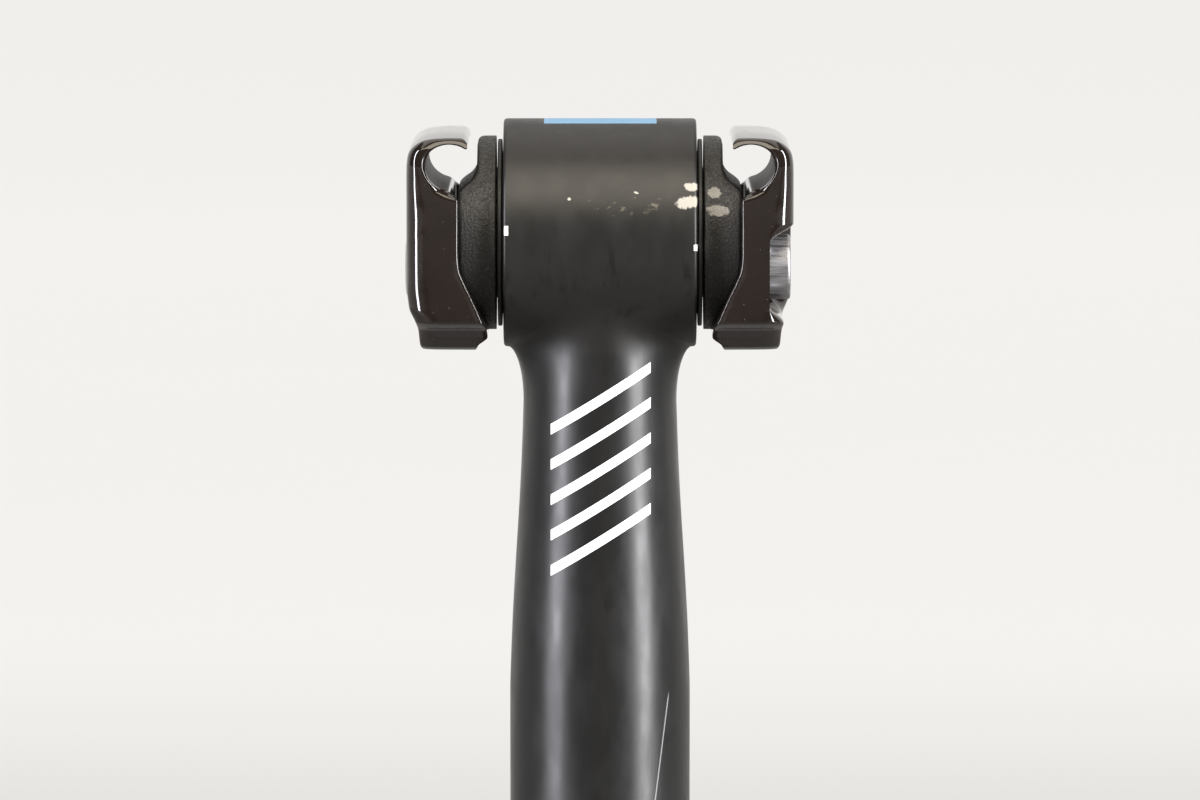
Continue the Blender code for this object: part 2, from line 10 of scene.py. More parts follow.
import bmesh
import bpy
import numpy as np
from bpy.props import FloatProperty, FloatVectorProperty, IntProperty, PointerProperty
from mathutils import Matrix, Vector


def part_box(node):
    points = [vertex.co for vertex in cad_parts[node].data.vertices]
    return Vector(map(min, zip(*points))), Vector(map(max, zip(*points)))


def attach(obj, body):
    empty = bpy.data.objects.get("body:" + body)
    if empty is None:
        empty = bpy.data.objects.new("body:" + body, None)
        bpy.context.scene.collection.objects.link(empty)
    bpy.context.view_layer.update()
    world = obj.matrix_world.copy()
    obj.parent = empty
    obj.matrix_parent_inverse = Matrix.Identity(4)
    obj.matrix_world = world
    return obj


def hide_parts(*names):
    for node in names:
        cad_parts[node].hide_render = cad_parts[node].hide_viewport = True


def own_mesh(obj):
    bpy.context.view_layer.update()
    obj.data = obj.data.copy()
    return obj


bl_info = {
    "name": "Suspension Seatpost",
    "version": (1, 0, 0),
    "blender": (4, 5, 0),
    "location": "View3D > Sidebar > Seatpost",
    "description": "Builds the finished surfaces of a suspension seatpost around its frame",
    "category": "Object",
}

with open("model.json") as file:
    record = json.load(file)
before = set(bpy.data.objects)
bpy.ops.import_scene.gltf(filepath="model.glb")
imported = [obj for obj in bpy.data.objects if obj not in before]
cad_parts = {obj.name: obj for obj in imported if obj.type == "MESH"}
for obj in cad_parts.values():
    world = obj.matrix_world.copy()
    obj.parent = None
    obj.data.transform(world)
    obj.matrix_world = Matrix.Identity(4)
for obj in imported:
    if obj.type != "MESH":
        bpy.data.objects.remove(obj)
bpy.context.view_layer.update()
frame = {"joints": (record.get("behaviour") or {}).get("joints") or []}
JOINTS = {joint["name"]: joint for joint in frame["joints"]}
MM = 0.001
HEAD = JOINTS["saddle_tilt"]["pos_m"][2] / MM
BOLT_Z = JOINTS["bolt_spin"]["pos_m"][2] / MM
SIDES = {"left": -1.0, "right": 1.0}


def node_span(node, axis):
    """Lowest and highest coordinate of a frame node along an axis, in millimetres."""
    low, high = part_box(node)
    return low[axis] / MM, high[axis] / MM


BARREL_HALF = node_span("post_shaft", 0)[1]
BARREL_R = node_span("post_shaft", 1)[1]
SHAFT_FOOT = node_span("post_shaft", 2)[0]
DISC_R = node_span("inner_cradle_left", 1)[1]
KEY_ANGLES = np.radians([30.0, 150.0, 270.0])


# ---------------------------------------------------------------- settings


def size_setting(name, description, millimetres):
    return FloatProperty(name=name, description=description, default=millimetres * MM, unit="LENGTH")


def colour_setting(name, description, colour):
    return FloatVectorProperty(name=name, description=description, default=colour, subtype="COLOR",
                               min=0, max=1)


class SeatpostHead(bpy.types.PropertyGroup):
    edge: size_setting("Barrel edge", "Rounding of the barrel's end edges", 0.6)
    waist_width: size_setting("Waist half width", "Half the neck's narrowest width", 11.55)
    waist_depth: size_setting("Waist half depth", "Half the neck's depth at its waist", 12.1)
    waist_drop: size_setting("Waist drop", "Waist's distance below the barrel's axis", 25.4)
    neck_drop: size_setting("Neck drop", "Where the neck ends, below the barrel's axis", 68.5)
    shaft_radius: size_setting("Shaft radius", "Outer radius of the straight shaft", 13.6)
    shaft_bore: size_setting("Shaft bore", "Inner radius of the straight shaft", 11.4)


class SeatpostClamp(bpy.types.PropertyGroup):
    rail_height: size_setting("Rail height", "Rail centre above the barrel's axis", 11.0)
    jaw_x: size_setting("Jaw centre", "Outer groove's centre from the post's middle", 22.5)
    jaw_radius: size_setting("Jaw radius", "Radius of the outer clamp's rail groove", 3.55)
    seat_x: size_setting("Seat centre", "Inner groove's centre from the post's middle", 22.0)
    seat_radius: size_setting("Seat radius", "Radius of the cradle's rail groove", 3.6)


class SeatpostSpring(bpy.types.PropertyGroup):
    turns: IntProperty(name="Turns", description="Turns of the main spring", default=14, min=4)
    wire_radius: size_setting("Wire radius", "Radius of the spring's wire", 1.7)
    mean_radius: size_setting("Coil radius", "Radius of the coil's centre line", 8.2)


class SeatpostColours(bpy.types.PropertyGroup):
    satin: colour_setting("Satin black", "Anodised black of the post", (0.0058, 0.0057, 0.0056))
    # gloss black: near-black lacquer whose brown tint is a painted reflection of a brown table in the clamps'
    # flat faces
    gloss: colour_setting("Gloss black", "Lacquer of the outer clamps", (0.0052, 0.0036, 0.0028))
    cast: colour_setting("Cast black", "Grainy finish of the cradles", (0.0085, 0.0082, 0.0078))
    stripe: colour_setting("Stripe", "Light blue stripe on top of the barrel", (0.09, 0.19, 0.29))
    marks: colour_setting("Marks", "White printed bars and index marks", (0.80, 0.80, 0.79))


class SeatpostStudio(bpy.types.PropertyGroup):
    elevation: FloatProperty(name="Camera elevation", description="Angle of the view above level",
                             default=math.radians(5.0), unit="ROTATION")
    distance: size_setting("Camera distance", "Camera's distance from the post", 1400.0)
    frame_width: size_setting("Frame width", "Width seen at the post", 181.3)
    target_drop: size_setting("Aim below the barrel", "Middle of the view, below the barrel's axis", 25.4)


# ---------------------------------------------------------------- meshes


def loop_faces(rows, columns, closed):
    """Quads between neighbouring rows of a grid whose rows are closed loops."""
    last = rows if closed else rows - 1
    i, j = np.meshgrid(np.arange(last), np.arange(columns), indexing="ij")
    here, right = i * columns + j, i * columns + (j + 1) % columns
    below = ((i + 1) % rows) * columns
    return np.stack([here, right, below + (j + 1) % columns, below + j], -1).reshape(-1, 4).tolist()


def shell(points, closed=False, start="pole", end="pole"):
    """Vertices and faces of a closed skin, from a grid of looped rows.

    If it is closed, its last row joins its first. Otherwise a pole or a flat face shuts each end.
    """
    rows, columns = points.shape[:2]
    vertices = points.reshape(-1, 3)
    faces = loop_faces(rows, columns, closed)
    if closed:
        return vertices, faces
    for how, first in ((start, 0), (end, (rows - 1) * columns)):
        ring = np.arange(first, first + columns)
        if how == "face":
            faces.append((ring if first else ring[::-1]).tolist())
            continue
        middle = vertices[ring].mean(axis=0)
        pole = len(vertices)
        vertices = np.vstack([vertices, middle])
        fan = np.stack([ring, np.roll(ring, -1), np.full(columns, pole)], -1)
        faces += (fan if first else fan[:, [1, 0, 2]]).tolist()
    return vertices, faces


def add_piece(name, shells, body, nodes, material, sharp=38.0):
    """Makes one object from closed shells in millimetres, and sets it in the frame in place of its nodes."""
    vertices, faces, base = [], [], 0
    for points, polygons in shells:
        vertices.append(points)
        faces += [[base + index for index in polygon] for polygon in polygons]
        base += len(points)
    mesh = bpy.data.meshes.new(name)
    mesh.from_pydata((np.vstack(vertices) * MM).tolist(), [], faces)
    shape = bmesh.new()
    shape.from_mesh(mesh)
    bmesh.ops.recalc_face_normals(shape, faces=shape.faces)
    shape.to_mesh(mesh)
    shape.free()
    mesh.shade_smooth()
    mesh.set_sharp_from_angle(angle=math.radians(sharp))
    mesh.materials.append(material)
    piece = bpy.data.objects.new(name, mesh)
    bpy.context.scene.collection.objects.link(piece)
    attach(piece, body)
    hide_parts(*nodes)
    return piece


def fillet(corners, radii, steps=5, closed=False):
    """Outline with each corner swapped for a parabola of the given reach.

    A bend takes at most a fixed share of its shorter side. A support point just outside each of its ends
    keeps the straight sides straight.
    """
    largest_share, support = 0.42, 0.18
    corners = np.asarray(corners, float)
    count = len(corners)
    radii = np.broadcast_to(np.asarray(radii, float), (count,))
    share = np.linspace(0, 1, steps + 1)[:, None]
    outline = []
    for i, (corner, reach) in enumerate(zip(corners, radii)):
        if reach == 0 or (not closed and i in (0, count - 1)):
            outline.append(corner[None])
            continue
        before, after = corners[i - 1] - corner, corners[(i + 1) % count] - corner
        reach = min(reach, largest_share * min(np.linalg.norm(before), np.linalg.norm(after)))
        before, after = before / np.linalg.norm(before), after / np.linalg.norm(after)
        first, last = corner + before * reach, corner + after * reach
        bend = first * (1 - share) ** 2 + 2 * corner * share * (1 - share) + last * share ** 2
        outline += [(first + before * support * reach)[None], bend, (last + after * support * reach)[None]]
    return np.vstack(outline)


def full_turn(segments):
    """Evenly spaced angles of one full turn."""
    return np.linspace(0, 2 * math.pi, segments, endpoint=False)


def about_z(angle, radius, height):
    """Points at an angle and a radius about Z, and at a height."""
    angle, radius, height = np.broadcast_arrays(angle, radius, height)
    return np.stack([radius * np.cos(angle), radius * np.sin(angle), height], -1)


def turned(profile, segments=96, ring=False, lobes=None):
    """Surface of revolution: each (radius, height) of the profile swept through a full turn about Z.

    lobes, if given, is a function of angle, height and radius whose result is added to the radius. A profile
    that isn't a ring starts and ends on the axis.
    """
    profile = np.asarray(profile, float)
    angle = full_turn(segments)[None]
    radius = np.repeat(profile[:, 0, None], segments, 1)
    height = np.repeat(profile[:, 1, None], segments, 1)
    if lobes is not None:
        radius = radius + lobes(angle, height, radius)
    points = about_z(angle, radius, height)
    return shell(points, closed=True) if ring else shell(points[1:-1])


def turned_ring(corners, radii, steps=5, segments=128):
    """Ring about Z: a closed outline of (radius, height) corners, each rounded by its reach."""
    return turned(fillet(corners, radii, steps, closed=True), segments, ring=True)


def lay_along_x(shells, side, height):
    """Turns shells made about Z so that their axis runs along X, outwards on the given side, at a height."""
    laid = []
    for points, faces in shells:
        x, y, z = points.T
        laid.append((np.stack([side * z, y, height - x], -1), faces))
    return laid


def lift(shells, height):
    return [(points + np.array([0, 0, height]), faces) for points, faces in shells]


def smooth_step(value):
    value = np.clip(value, 0, 1)
    return value * value * (3 - 2 * value)


def hexagon_radius(angle, flats):
    """Radius of a hexagon at an angle: half the flats over the cosine of the angle to the nearest flat."""
    return flats / 2 / np.cos((angle + math.pi / 6) % (math.pi / 3) - math.pi / 6)


def socketed_bar(outline, flats, mouth, floor, segments=96):
    """A turned bar whose last face holds a hexagonal socket: circles outside, hexagons from the mouth in.

    outline is the (radius, height) profile from the far end's middle to the socket's rim. mouth and floor are
    the heights of the socket's two ends.
    """
    angle = full_turn(segments)
    rim = hexagon_radius(angle, flats)
    sign = math.copysign(1.0, mouth - floor)
    rows = [(max(radius, 1e-4), height) for radius, height in outline]
    rows += [(rim + grow, mouth - sign * drop) for grow, drop in ((0.35, 0.0), (0.12, 0.08), (0.0, 0.3))]
    rows += [(rim, mouth + (floor - mouth) * share) for share in (0.3, 0.6, 0.97)]
    rows += [(rim * size, floor - sign * 0.6 * (1 - size)) for size in (0.96, 0.5, 0.1)]
    return shell(np.stack([about_z(angle, radius, height) for radius, height in rows]))


def thread(pitch, depth, low, high):
    """Screw thread for turned(), faded at its ends.

    It is a triangular wave of height over pitch less the angle's share of a turn.
    """
    def lobes(angle, height, radius):
        wave = np.abs(2 * ((height / pitch - angle / (2 * math.pi)) % 1.0) - 1)
        fade = smooth_step((height - low) / pitch) * smooth_step((high - height) / pitch)
        return -depth * (1 - np.clip(wave * 1.25, 0, 1)) * fade
    return lobes


# ---------------------------------------------------------------- materials


class Look:
    """One procedural material: adds nodes to it and wires them to its shader.

    slab and past measure in millimetres: x and y from the post's middle, z from the barrel's axis.
    """

    def __init__(self, name, roughness, metallic=0.0, **sockets):
        self.material = bpy.data.materials.new(name)
        self.material.use_nodes = True
        self.nodes = self.material.node_tree.nodes
        self.links = self.material.node_tree.links
        self.shader = self.nodes["Principled BSDF"]
        for socket, value in {"Roughness": roughness, "Metallic": metallic, **sockets}.items():
            self.shader.inputs[socket.replace("_", " ")].default_value = value
        self.place = self.nodes.new("ShaderNodeTexCoord").outputs["Object"]
        self.x, self.y, self.z = self.add("ShaderNodeSeparateXYZ", {0: self.place}).outputs

    def add(self, kind, inputs, **settings):
        made = self.nodes.new(kind)
        for setting, value in settings.items():
            setattr(made, setting, value)
        for socket, value in inputs.items():
            if isinstance(value, bpy.types.NodeSocket):
                self.links.new(value, made.inputs[socket])
            else:
                made.inputs[socket].default_value = value
        return made

    def wire(self, socket, value):
        self.links.new(value, self.shader.inputs[socket])

    def calc(self, operation, first, second=0.0):
        return self.add("ShaderNodeMath", {0: first, 1: second}, operation=operation).outputs[0]

    def fold(self, operation, values):
        total = values[0]
        for value in values[1:]:
            total = self.calc(operation, total, value)
        return total

    def product(self, *values):
        return self.fold("MULTIPLY", values)

    def total(self, *values):
        return self.fold("ADD", values)

    def most(self, *values):
        return self.fold("MAXIMUM", values)

    def length(self, across, up):
        """Distance made by two offsets at right angles."""
        return self.calc("SQRT", self.total(self.product(across, across), self.product(up, up)))

    def ramp(self, value, low, high, start=0.0, end=1.0):
        """start below low, end above high, and a smooth step between."""
        return self.add("ShaderNodeMapRange", {0: value, 1: low, 2: high, 3: start, 4: end},
                        interpolation_type="SMOOTHSTEP").outputs[0]

    def band(self, value, low, high, soft):
        """1 between low and high, 0 outside, with soft edges."""
        return self.product(self.ramp(value, low - soft, low + soft),
                            self.ramp(value, high - soft, high + soft, 1.0, 0.0))

    def past(self, axis, low, high, start=0.0, end=1.0):
        """A ramp between two places along an axis."""
        zero = HEAD if axis == "z" else 0.0
        return self.ramp(getattr(self, axis), (zero + low) * MM, (zero + high) * MM, start, end)

    def slab(self, axis, low, high, soft=0.05):
        """A band between two places along an axis."""
        zero = HEAD if axis == "z" else 0.0
        return self.band(getattr(self, axis), (zero + low) * MM, (zero + high) * MM, soft * MM)

    def noise(self, size, detail=3.0, stretch=(1.0, 1.0, 1.0), roughness=0.55):
        """Noise with features of about the given size in millimetres, longer where the stretch is small."""
        moved = self.add("ShaderNodeMapping", {"Vector": self.place, "Scale": stretch}).outputs[0]
        return self.add("ShaderNodeTexNoise", {"Vector": moved, "Scale": 1.0 / (size * MM), "Detail": detail,
                                               "Roughness": roughness}).outputs[0]

    def mix(self, factor, first, second):
        first, second = (c if isinstance(c, bpy.types.NodeSocket) else (*c, 1.0) for c in (first, second))
        return self.add("ShaderNodeMix", {0: factor, 6: first, 7: second}, data_type="RGBA").outputs[2]

    def bump(self, height, distance, strength, under=None):
        """Raises the surface by height times distance, in millimetres, on top of an earlier bump."""
        inputs = {"Strength": strength, "Distance": distance * MM, "Height": height}
        if under is not None:
            inputs["Normal"] = under
        made = self.add("ShaderNodeBump", inputs).outputs[0]
        self.wire("Normal", made)
        return made


def shade(colour, factor):
    return tuple(min(1.0, c * factor) for c in colour)


def dab(look, x, z, width, height, tilt=0.0):
    """A soft-edged spot on the front, centred at x and z, in millimetres from the barrel's axis."""
    across = look.product(look.calc("SUBTRACT", look.x, x * MM), 1 / (width * MM))
    up = look.product(look.calc("SUBTRACT", look.z, (HEAD + z) * MM), 1 / (height * MM))
    up = look.total(up, look.product(across, tilt))
    ripple = look.product(look.calc("SUBTRACT", look.noise(0.6, 2.0), 0.5), 0.6)
    spot = look.ramp(look.total(look.length(across, up), ripple), 0.42, 0.58, 1.0, 0.0)
    return look.product(spot, look.past("y", -4.0, -2.0, 1.0, 0.0))


def satin_black(colours):
    """Anodised black of the post: soft mottling, drips, printed bars and stripe, scuffs and paint dabs."""
    look = Look("satin_black", 0.36, Specular_IOR_Level=0.33)
    base = tuple(colours.satin)
    warm = (base[0] * 1.15, base[1] * 1.1, base[2])
    on_barrel = look.past("z", -18.5, -16.5)
    front = look.past("y", -3.0, -2.0, 1.0, 0.0)
    colour = look.mix(look.noise(9.0, 4.0), shade(base, 0.72), shade(base, 1.3))
    colour = look.mix(look.product(on_barrel, 0.9), colour, warm)
    drips = look.ramp(look.noise(1.6, 3.0, (1.0, 1.0, 0.09)), 0.55, 0.72)
    drips = look.product(drips, look.slab("z", -14.0, -1.0, 3.0), on_barrel)
    colour = look.mix(drips, colour, shade(base, 0.35))
    smudge = look.ramp(look.noise(5.0, 4.0, (1, 1, 0.5)), 0.56, 0.68)
    smudge = look.product(smudge, look.slab("z", -76.0, -52.0, 5.0), 0.75)
    colour = look.mix(smudge, colour, shade(base, 0.3))

    scuffs = look.ramp(look.noise(1.0, 5.0, (0.5, 1, 1), 0.7), 0.57, 0.66)
    scuffs = look.product(scuffs, look.slab("x", -1.5, 9.0, 2.0), look.slab("z", 4.0, 7.0, 0.8), front, 0.5)
    colour = look.mix(scuffs, colour, (0.16, 0.14, 0.10))
    line_start = (HEAD - 69) * MM
    lean = look.product(look.calc("SUBTRACT", look.z, line_start), -0.127)
    line = look.product(look.band(look.total(look.x, lean), 10.25 * MM, 10.4 * MM, 0.05 * MM), front,
                        look.past("z", -70.0, -68.5, 1.0, 0.0), look.past("z", -92.0, -90.0), 0.35)
    colour = look.mix(line, colour, (0.5, 0.5, 0.5))
    dabs = look.most(dab(look, 13.8, 7.8, 2.3, 1.2, 0.2), dab(look, 13.2, 5.6, 3.4, 1.7, -0.2),
                     dab(look, -4.6, 6.1, 0.55, 0.4), dab(look, 5.4, 7.0, 0.7, 0.35, 0.3))
    colour = look.mix(dabs, colour, (0.24, 0.225, 0.19))

    bar_slope, bar_width, bar_pitch = 0.62, 1.6, 5.3
    climb = look.total(look.z, look.product(look.x, -bar_slope))
    tops = [HEAD - 23.6 - bar_pitch * i for i in range(5)]
    bars = look.most(*(look.band(climb, (top - bar_width) * MM, top * MM, 0.04 * MM) for top in tops))
    chips = look.ramp(look.noise(0.9, 4.0, roughness=0.7), 0.66, 0.70, 1.0, 0.0)
    bars = look.product(bars, look.slab("x", -7.4, 7.6, 0.04), chips)
    index = look.most(look.product(look.slab("x", -14.3, -13.7), look.slab("z", 0.7, 2.1)),
                      look.product(look.slab("x", 14.0, 14.5), look.slab("z", -1.6, -0.7)))
    marks = look.product(look.most(bars, index), front)
    colour = look.mix(marks, colour, tuple(colours.marks))
    stripe = look.product(look.slab("x", -8.4, 8.5, 0.04), look.slab("y", -4.2, 4.2, 0.04),
                          look.past("z", 14.0, 14.1))
    look.wire("Base Color", look.mix(stripe, colour, tuple(colours.stripe)))
    rough = look.ramp(look.noise(3.0, 4.0, (1, 1, 0.4)), 0.3, 0.7, 0.31, 0.40)
    printed = look.product(look.most(marks, dabs), 0.2)
    look.wire("Roughness", look.total(rough, look.product(on_barrel, 0.05), printed))
    fine = look.bump(look.noise(0.22, 2.0), 0.004, 0.5)
    look.bump(look.most(marks, stripe), 0.03, 0.6, fine)
    return look.material


def gloss_black(colours, clamp):
    """Thick lacquer over metal: near black and mirror-like, its brown tint a painted reflection of a brown
    table, with orange peel, dust and wipe marks.

    It is dull in the groove, where the rail rubs.
    """
    look = Look("gloss_black", 0.09, Specular_IOR_Level=0.36, Coat_Roughness=0.03)
    # the base's brown tint is a painted reflection of a brown table on the flat faces
    base = tuple(colours.gloss)
    dust = look.ramp(look.noise(0.35, 2.0), 0.735, 0.77)
    colour = look.mix(look.noise(6.0, 2.0), base, shade(base, 1.9))
    look.wire("Base Color", look.mix(look.product(dust, 0.35), colour, (0.35, 0.33, 0.30)))
    wipes = look.ramp(look.noise(2.2, 3.0, (1, 0.2, 1)), 0.45, 0.75, 0.07, 0.14)
    from_rail = look.calc("SUBTRACT", look.calc("ABSOLUTE", look.x), clamp.jaw_x)
    over_rail = look.calc("SUBTRACT", look.z, HEAD * MM + clamp.rail_height)
    rubbed = clamp.jaw_radius + 0.1 * MM
    groove = look.product(look.ramp(look.length(from_rail, over_rail), rubbed, rubbed + 0.2 * MM, 1.0, 0.0),
                          look.ramp(look.calc("ABSOLUTE", look.y), 16.6 * MM, 17.0 * MM, 1.0, 0.0))
    look.wire("Roughness", look.most(look.total(wipes, look.product(dust, 0.4)), look.product(groove, 0.5)))
    look.wire("Coat Weight", look.product(look.calc("SUBTRACT", 1.0, groove), 0.35))
    look.bump(look.noise(1.4, 2.0), 0.012, 0.35)
    return look.material


def cast_black(colours):
    """Rough cast and blackened metal: coarse grain whose crests are lightened as painted glints, and paint
    dabs on the right cradle.
    """
    look = Look("cast_black", 0.62, Specular_IOR_Level=0.42)
    base = tuple(colours.cast)
    grain = look.noise(0.38, 3.0, roughness=0.65)
    colour = look.mix(look.noise(4.0, 3.0), shade(base, 0.8), shade(base, 1.3))
    # lighter grain crests: painted glints on the bumps of the cast grain
    colour = look.mix(look.product(look.ramp(grain, 0.5, 0.72), 0.65), colour, shade(base, 3.6))
    dabs = look.most(dab(look, 17.1, 6.8, 2.0, 1.5, 0.15), dab(look, 17.6, 4.2, 3.2, 1.6, 0.1))
    look.wire("Base Color", look.mix(dabs, colour, (0.19, 0.18, 0.155)))
    look.wire("Roughness", look.ramp(grain, 0.3, 0.7, 0.72, 0.34))
    look.bump(grain, 0.16, 0.9)
    return look.material


def metal(name, colour, roughness, brush=(1.0, 1.0, 0.08), size=0.5):
    """Bare machined metal: fine brush marks along one axis, cloudy tone and a little wear in its polish."""
    look = Look(name, roughness, 1.0)
    marks = look.noise(size, 3.0, brush)
    tone = look.mix(look.noise(5.0, 3.0), shade(colour, 0.82), shade(colour, 1.12))
    look.wire("Base Color", look.mix(look.product(marks, 0.35), tone, shade(colour, 0.6)))
    look.wire("Roughness", look.ramp(marks, 0.3, 0.7, roughness * 0.75, roughness * 1.3))
    look.bump(marks, 0.008, 0.5)
    return look.material


def polymer(name, colour, roughness, grain=0.25, depth=0.02, gloss=0.45):
    """Moulded plastic or rubber: fine pitted grain, slight clouding and dusty crests."""
    look = Look(name, roughness, Specular_IOR_Level=gloss)
    pits = look.noise(grain, 3.0)
    tone = look.mix(look.noise(4.0, 3.0), shade(colour, 0.8), shade(colour, 1.25))
    look.wire("Base Color", look.mix(look.ramp(pits, 0.6, 0.8, 0.0, 0.4), tone, shade(colour, 2.2)))
    look.wire("Roughness", look.ramp(pits, 0.3, 0.7, roughness * 1.15, roughness * 0.9))
    look.bump(pits, depth, 0.6)
    return look.material


def gloss_nut():
    """Black lacquered steel of the nut: bright polish with faint turning rings."""
    look = Look("nut_black", 0.14, Specular_IOR_Level=0.6, Coat_Weight=0.4, Coat_Roughness=0.05)
    look.wire("Base Color", look.mix(look.noise(3.0, 2.0), (0.006, 0.006, 0.006), (0.012, 0.011, 0.011)))
    look.wire("Roughness", look.ramp(look.noise(0.8, 3.0), 0.3, 0.7, 0.10, 0.20))
    look.bump(look.noise(1.1, 2.0), 0.01, 0.4)
    return look.material


def graduated_black(colours):
    """The lower tube's hard black: fine hoop marks from turning, and a scale of white ticks up its back."""
    look = Look("graduated_black", 0.34)
    base = tuple(colours.satin)
    hoops = look.noise(0.35, 2.0, (0.15, 0.15, 1.0))
    colour = look.mix(look.noise(8.0, 4.0), shade(base, 0.75), shade(base, 1.25))
    tick_pitch = 10 * MM
    phase = look.calc("FRACT", look.product(look.z, 1 / tick_pitch))
    tick = look.product(look.band(phase, 0.02, 0.07, 0.006), look.band(look.z, 82 * MM, 192 * MM, 0.1 * MM),
                        look.slab("x", -3.0, 3.0), look.past("y", 10.0, 11.0))
    rub = look.product(look.ramp(look.noise(1.3, 4.0, (1, 1, 0.06)), 0.60, 0.70),
                       look.ramp(look.z, 60 * MM, 120 * MM, 1.0, 0.0), 0.25)
    colour = look.mix(rub, colour, (0.22, 0.22, 0.22))
    look.wire("Base Color", look.mix(tick, colour, tuple(colours.marks)))
    look.wire("Roughness", look.ramp(hoops, 0.3, 0.7, 0.28, 0.42))
    look.bump(hoops, 0.006, 0.5)
    return look.material


# ---------------------------------------------------------------- shapes


def barrel_shell(head):
    """The barrel: a ring turned about X, with rounded outer edges and a plain bore."""
    half, edge, bore = BARREL_HALF, head.edge / MM, 12.4
    corners = [(BARREL_R, -half), (BARREL_R, half), (bore, half), (bore, -half)]
    return lay_along_x([turned_ring(corners, (edge, edge, 0.25, 0.25), segments=320)], 1.0, HEAD)


def neck_half_width(drop, head):
    """Neck's half width at a drop below the barrel: an eased ramp from the waist to the straight shaft."""
    waist, end = head.waist_drop / MM, head.neck_drop / MM
    share = np.clip((drop - waist) / (end - waist), 0, 1)
    eased = share - np.sin(2 * math.pi * share) / (6 * math.pi)
    return head.waist_width / MM + (head.shaft_radius - head.waist_width) / MM * eased


def shaft_shell(head):
    """Neck and shaft in one skin, as loops about Z from inside the barrel down, then up the bore.

    The flare is a cubic curve for each angle, from the waist, where it is upright, to a point on the barrel's
    surface, where it lies in the barrel's tangent plane. Each keyway lowers the radius inside a long slot
    with round ends.
    """
    outer, bore, low = head.shaft_radius / MM, head.shaft_bore / MM, SHAFT_FOOT - HEAD
    slot_middle, slot_reach, slot_half, slot_floor, soft = -119.5, 27.5, 1.6, 12.75, 0.12
    edge = math.asin(slot_half / outer)
    extra = [key + side * (edge + shift) for key in KEY_ANGLES for side in (-1, 1)
             for shift in (-0.012, -0.003, 0.003, 0.012)]
    angle = np.sort(np.concatenate([full_turn(200), np.mod(extra, 2 * math.pi)]))
    cos, sin = np.cos(angle), np.sin(angle)

    waist = head.waist_drop / MM
    foot_x, foot_y = BARREL_HALF - head.edge / MM, 14.6
    foot = np.stack([foot_x * cos, foot_y * sin, -np.sqrt(BARREL_R ** 2 - (foot_y * sin) ** 2)], -1)
    ring = np.stack([head.waist_width / MM * cos, head.waist_depth / MM * sin, np.full_like(cos, -waist)], -1)
    lean = foot_y * sin / BARREL_R
    out = np.stack([cos, sin * np.sqrt(1 - lean ** 2), sin * lean], -1)
    above_ring = ring + (5.4 + 2.4 * sin ** 2)[:, None] * np.array([0.0, 0.0, 1.0])
    before_foot = foot - (0.9 + 4.6 * sin ** 2)[:, None] * out
    share = np.linspace(1, 0, 41)[:, None, None]
    flare = ((1 - share) ** 3 * ring + 3 * (1 - share) ** 2 * share * above_ring
             + 3 * (1 - share) * share ** 2 * before_foot + share ** 3 * foot)
    middle = np.array([0.0, 0.0, -15.0])
    inside = np.stack([middle + (foot - middle) * size for size in (0.25, 0.6, 0.9)])

    # The rows are closer together round the ends of the keyways.
    spans = [(waist + 0.8, 70.0, 0.8), (70.5, 92, 1.5), (92, 102, 0.4), (103, 144, 2.0), (144, 149.4, 0.4),
             (152, 198, 4.0)]
    drops = np.concatenate([np.arange(*span) for span in spans])
    width = neck_half_width(drops, head)
    depth = width + (head.waist_depth - head.waist_width) / MM * (1 - smooth_step((drops - waist) / 30))
    x, y = width[:, None] * cos, depth[:, None] * sin
    z = np.repeat(-drops[:, None], len(angle), 1)
    radius = np.hypot(x, y)
    for key in KEY_ANGLES:
        facing = np.cos(angle - key)[None]
        across = radius * np.sin(angle - key)[None]
        along = np.maximum(np.abs(z - slot_middle) - (slot_reach - slot_half), 0)
        in_slot = smooth_step((slot_half - np.hypot(across, along)) / soft + 0.5) * (facing > 0.5)
        floor = slot_floor / np.maximum(facing, 0.5)
        radius = radius + in_slot * (np.minimum(floor, radius) - radius)
    body = about_z(np.arctan2(y, x), radius, z)

    section = [(outer, low + 3), (outer, low + 0.9), (outer - 0.1, low + 0.35), (outer - 0.5, low),
               (bore + 0.4, low), (bore, low + 0.4), (bore, low + 2), (bore, -140), (bore, -67),
               (bore - 0.1, -65), (9.0, -37), (8.6, -35), (6.0, -27), (3.0, -25)]
    ends = np.stack([about_z(angle, reach, height) for reach, height in section])
    return lift([shell(np.concatenate([inside, flare, body, ends]))], HEAD)


def seat_profile(z, clamp):
    """How far out the cradle's face reaches at a height.

    It is flat, cut by the rail's round seat above and slanted below, with a soft join to the slant.
    """
    face, wall, slant_top, slope, blend = 21.3, 18.4, -5.0, 3.7 / 8.4, 0.5
    centre, radius, rail = clamp.seat_x / MM, clamp.seat_radius / MM, clamp.rail_height / MM
    arc = centre - np.sqrt(np.maximum(radius ** 2 - np.minimum(z - rail, 0) ** 2, 0))
    arc = np.where(z < rail - radius, face + 1, arc)
    reach = np.minimum(face, np.where(z > rail, wall, arc))
    slant = face + (z - slant_top) * slope
    share = np.clip(0.5 + 0.5 * (slant - reach) / blend, 0, 1)
    return slant + (reach - slant) * share - blend * share * (1 - share)


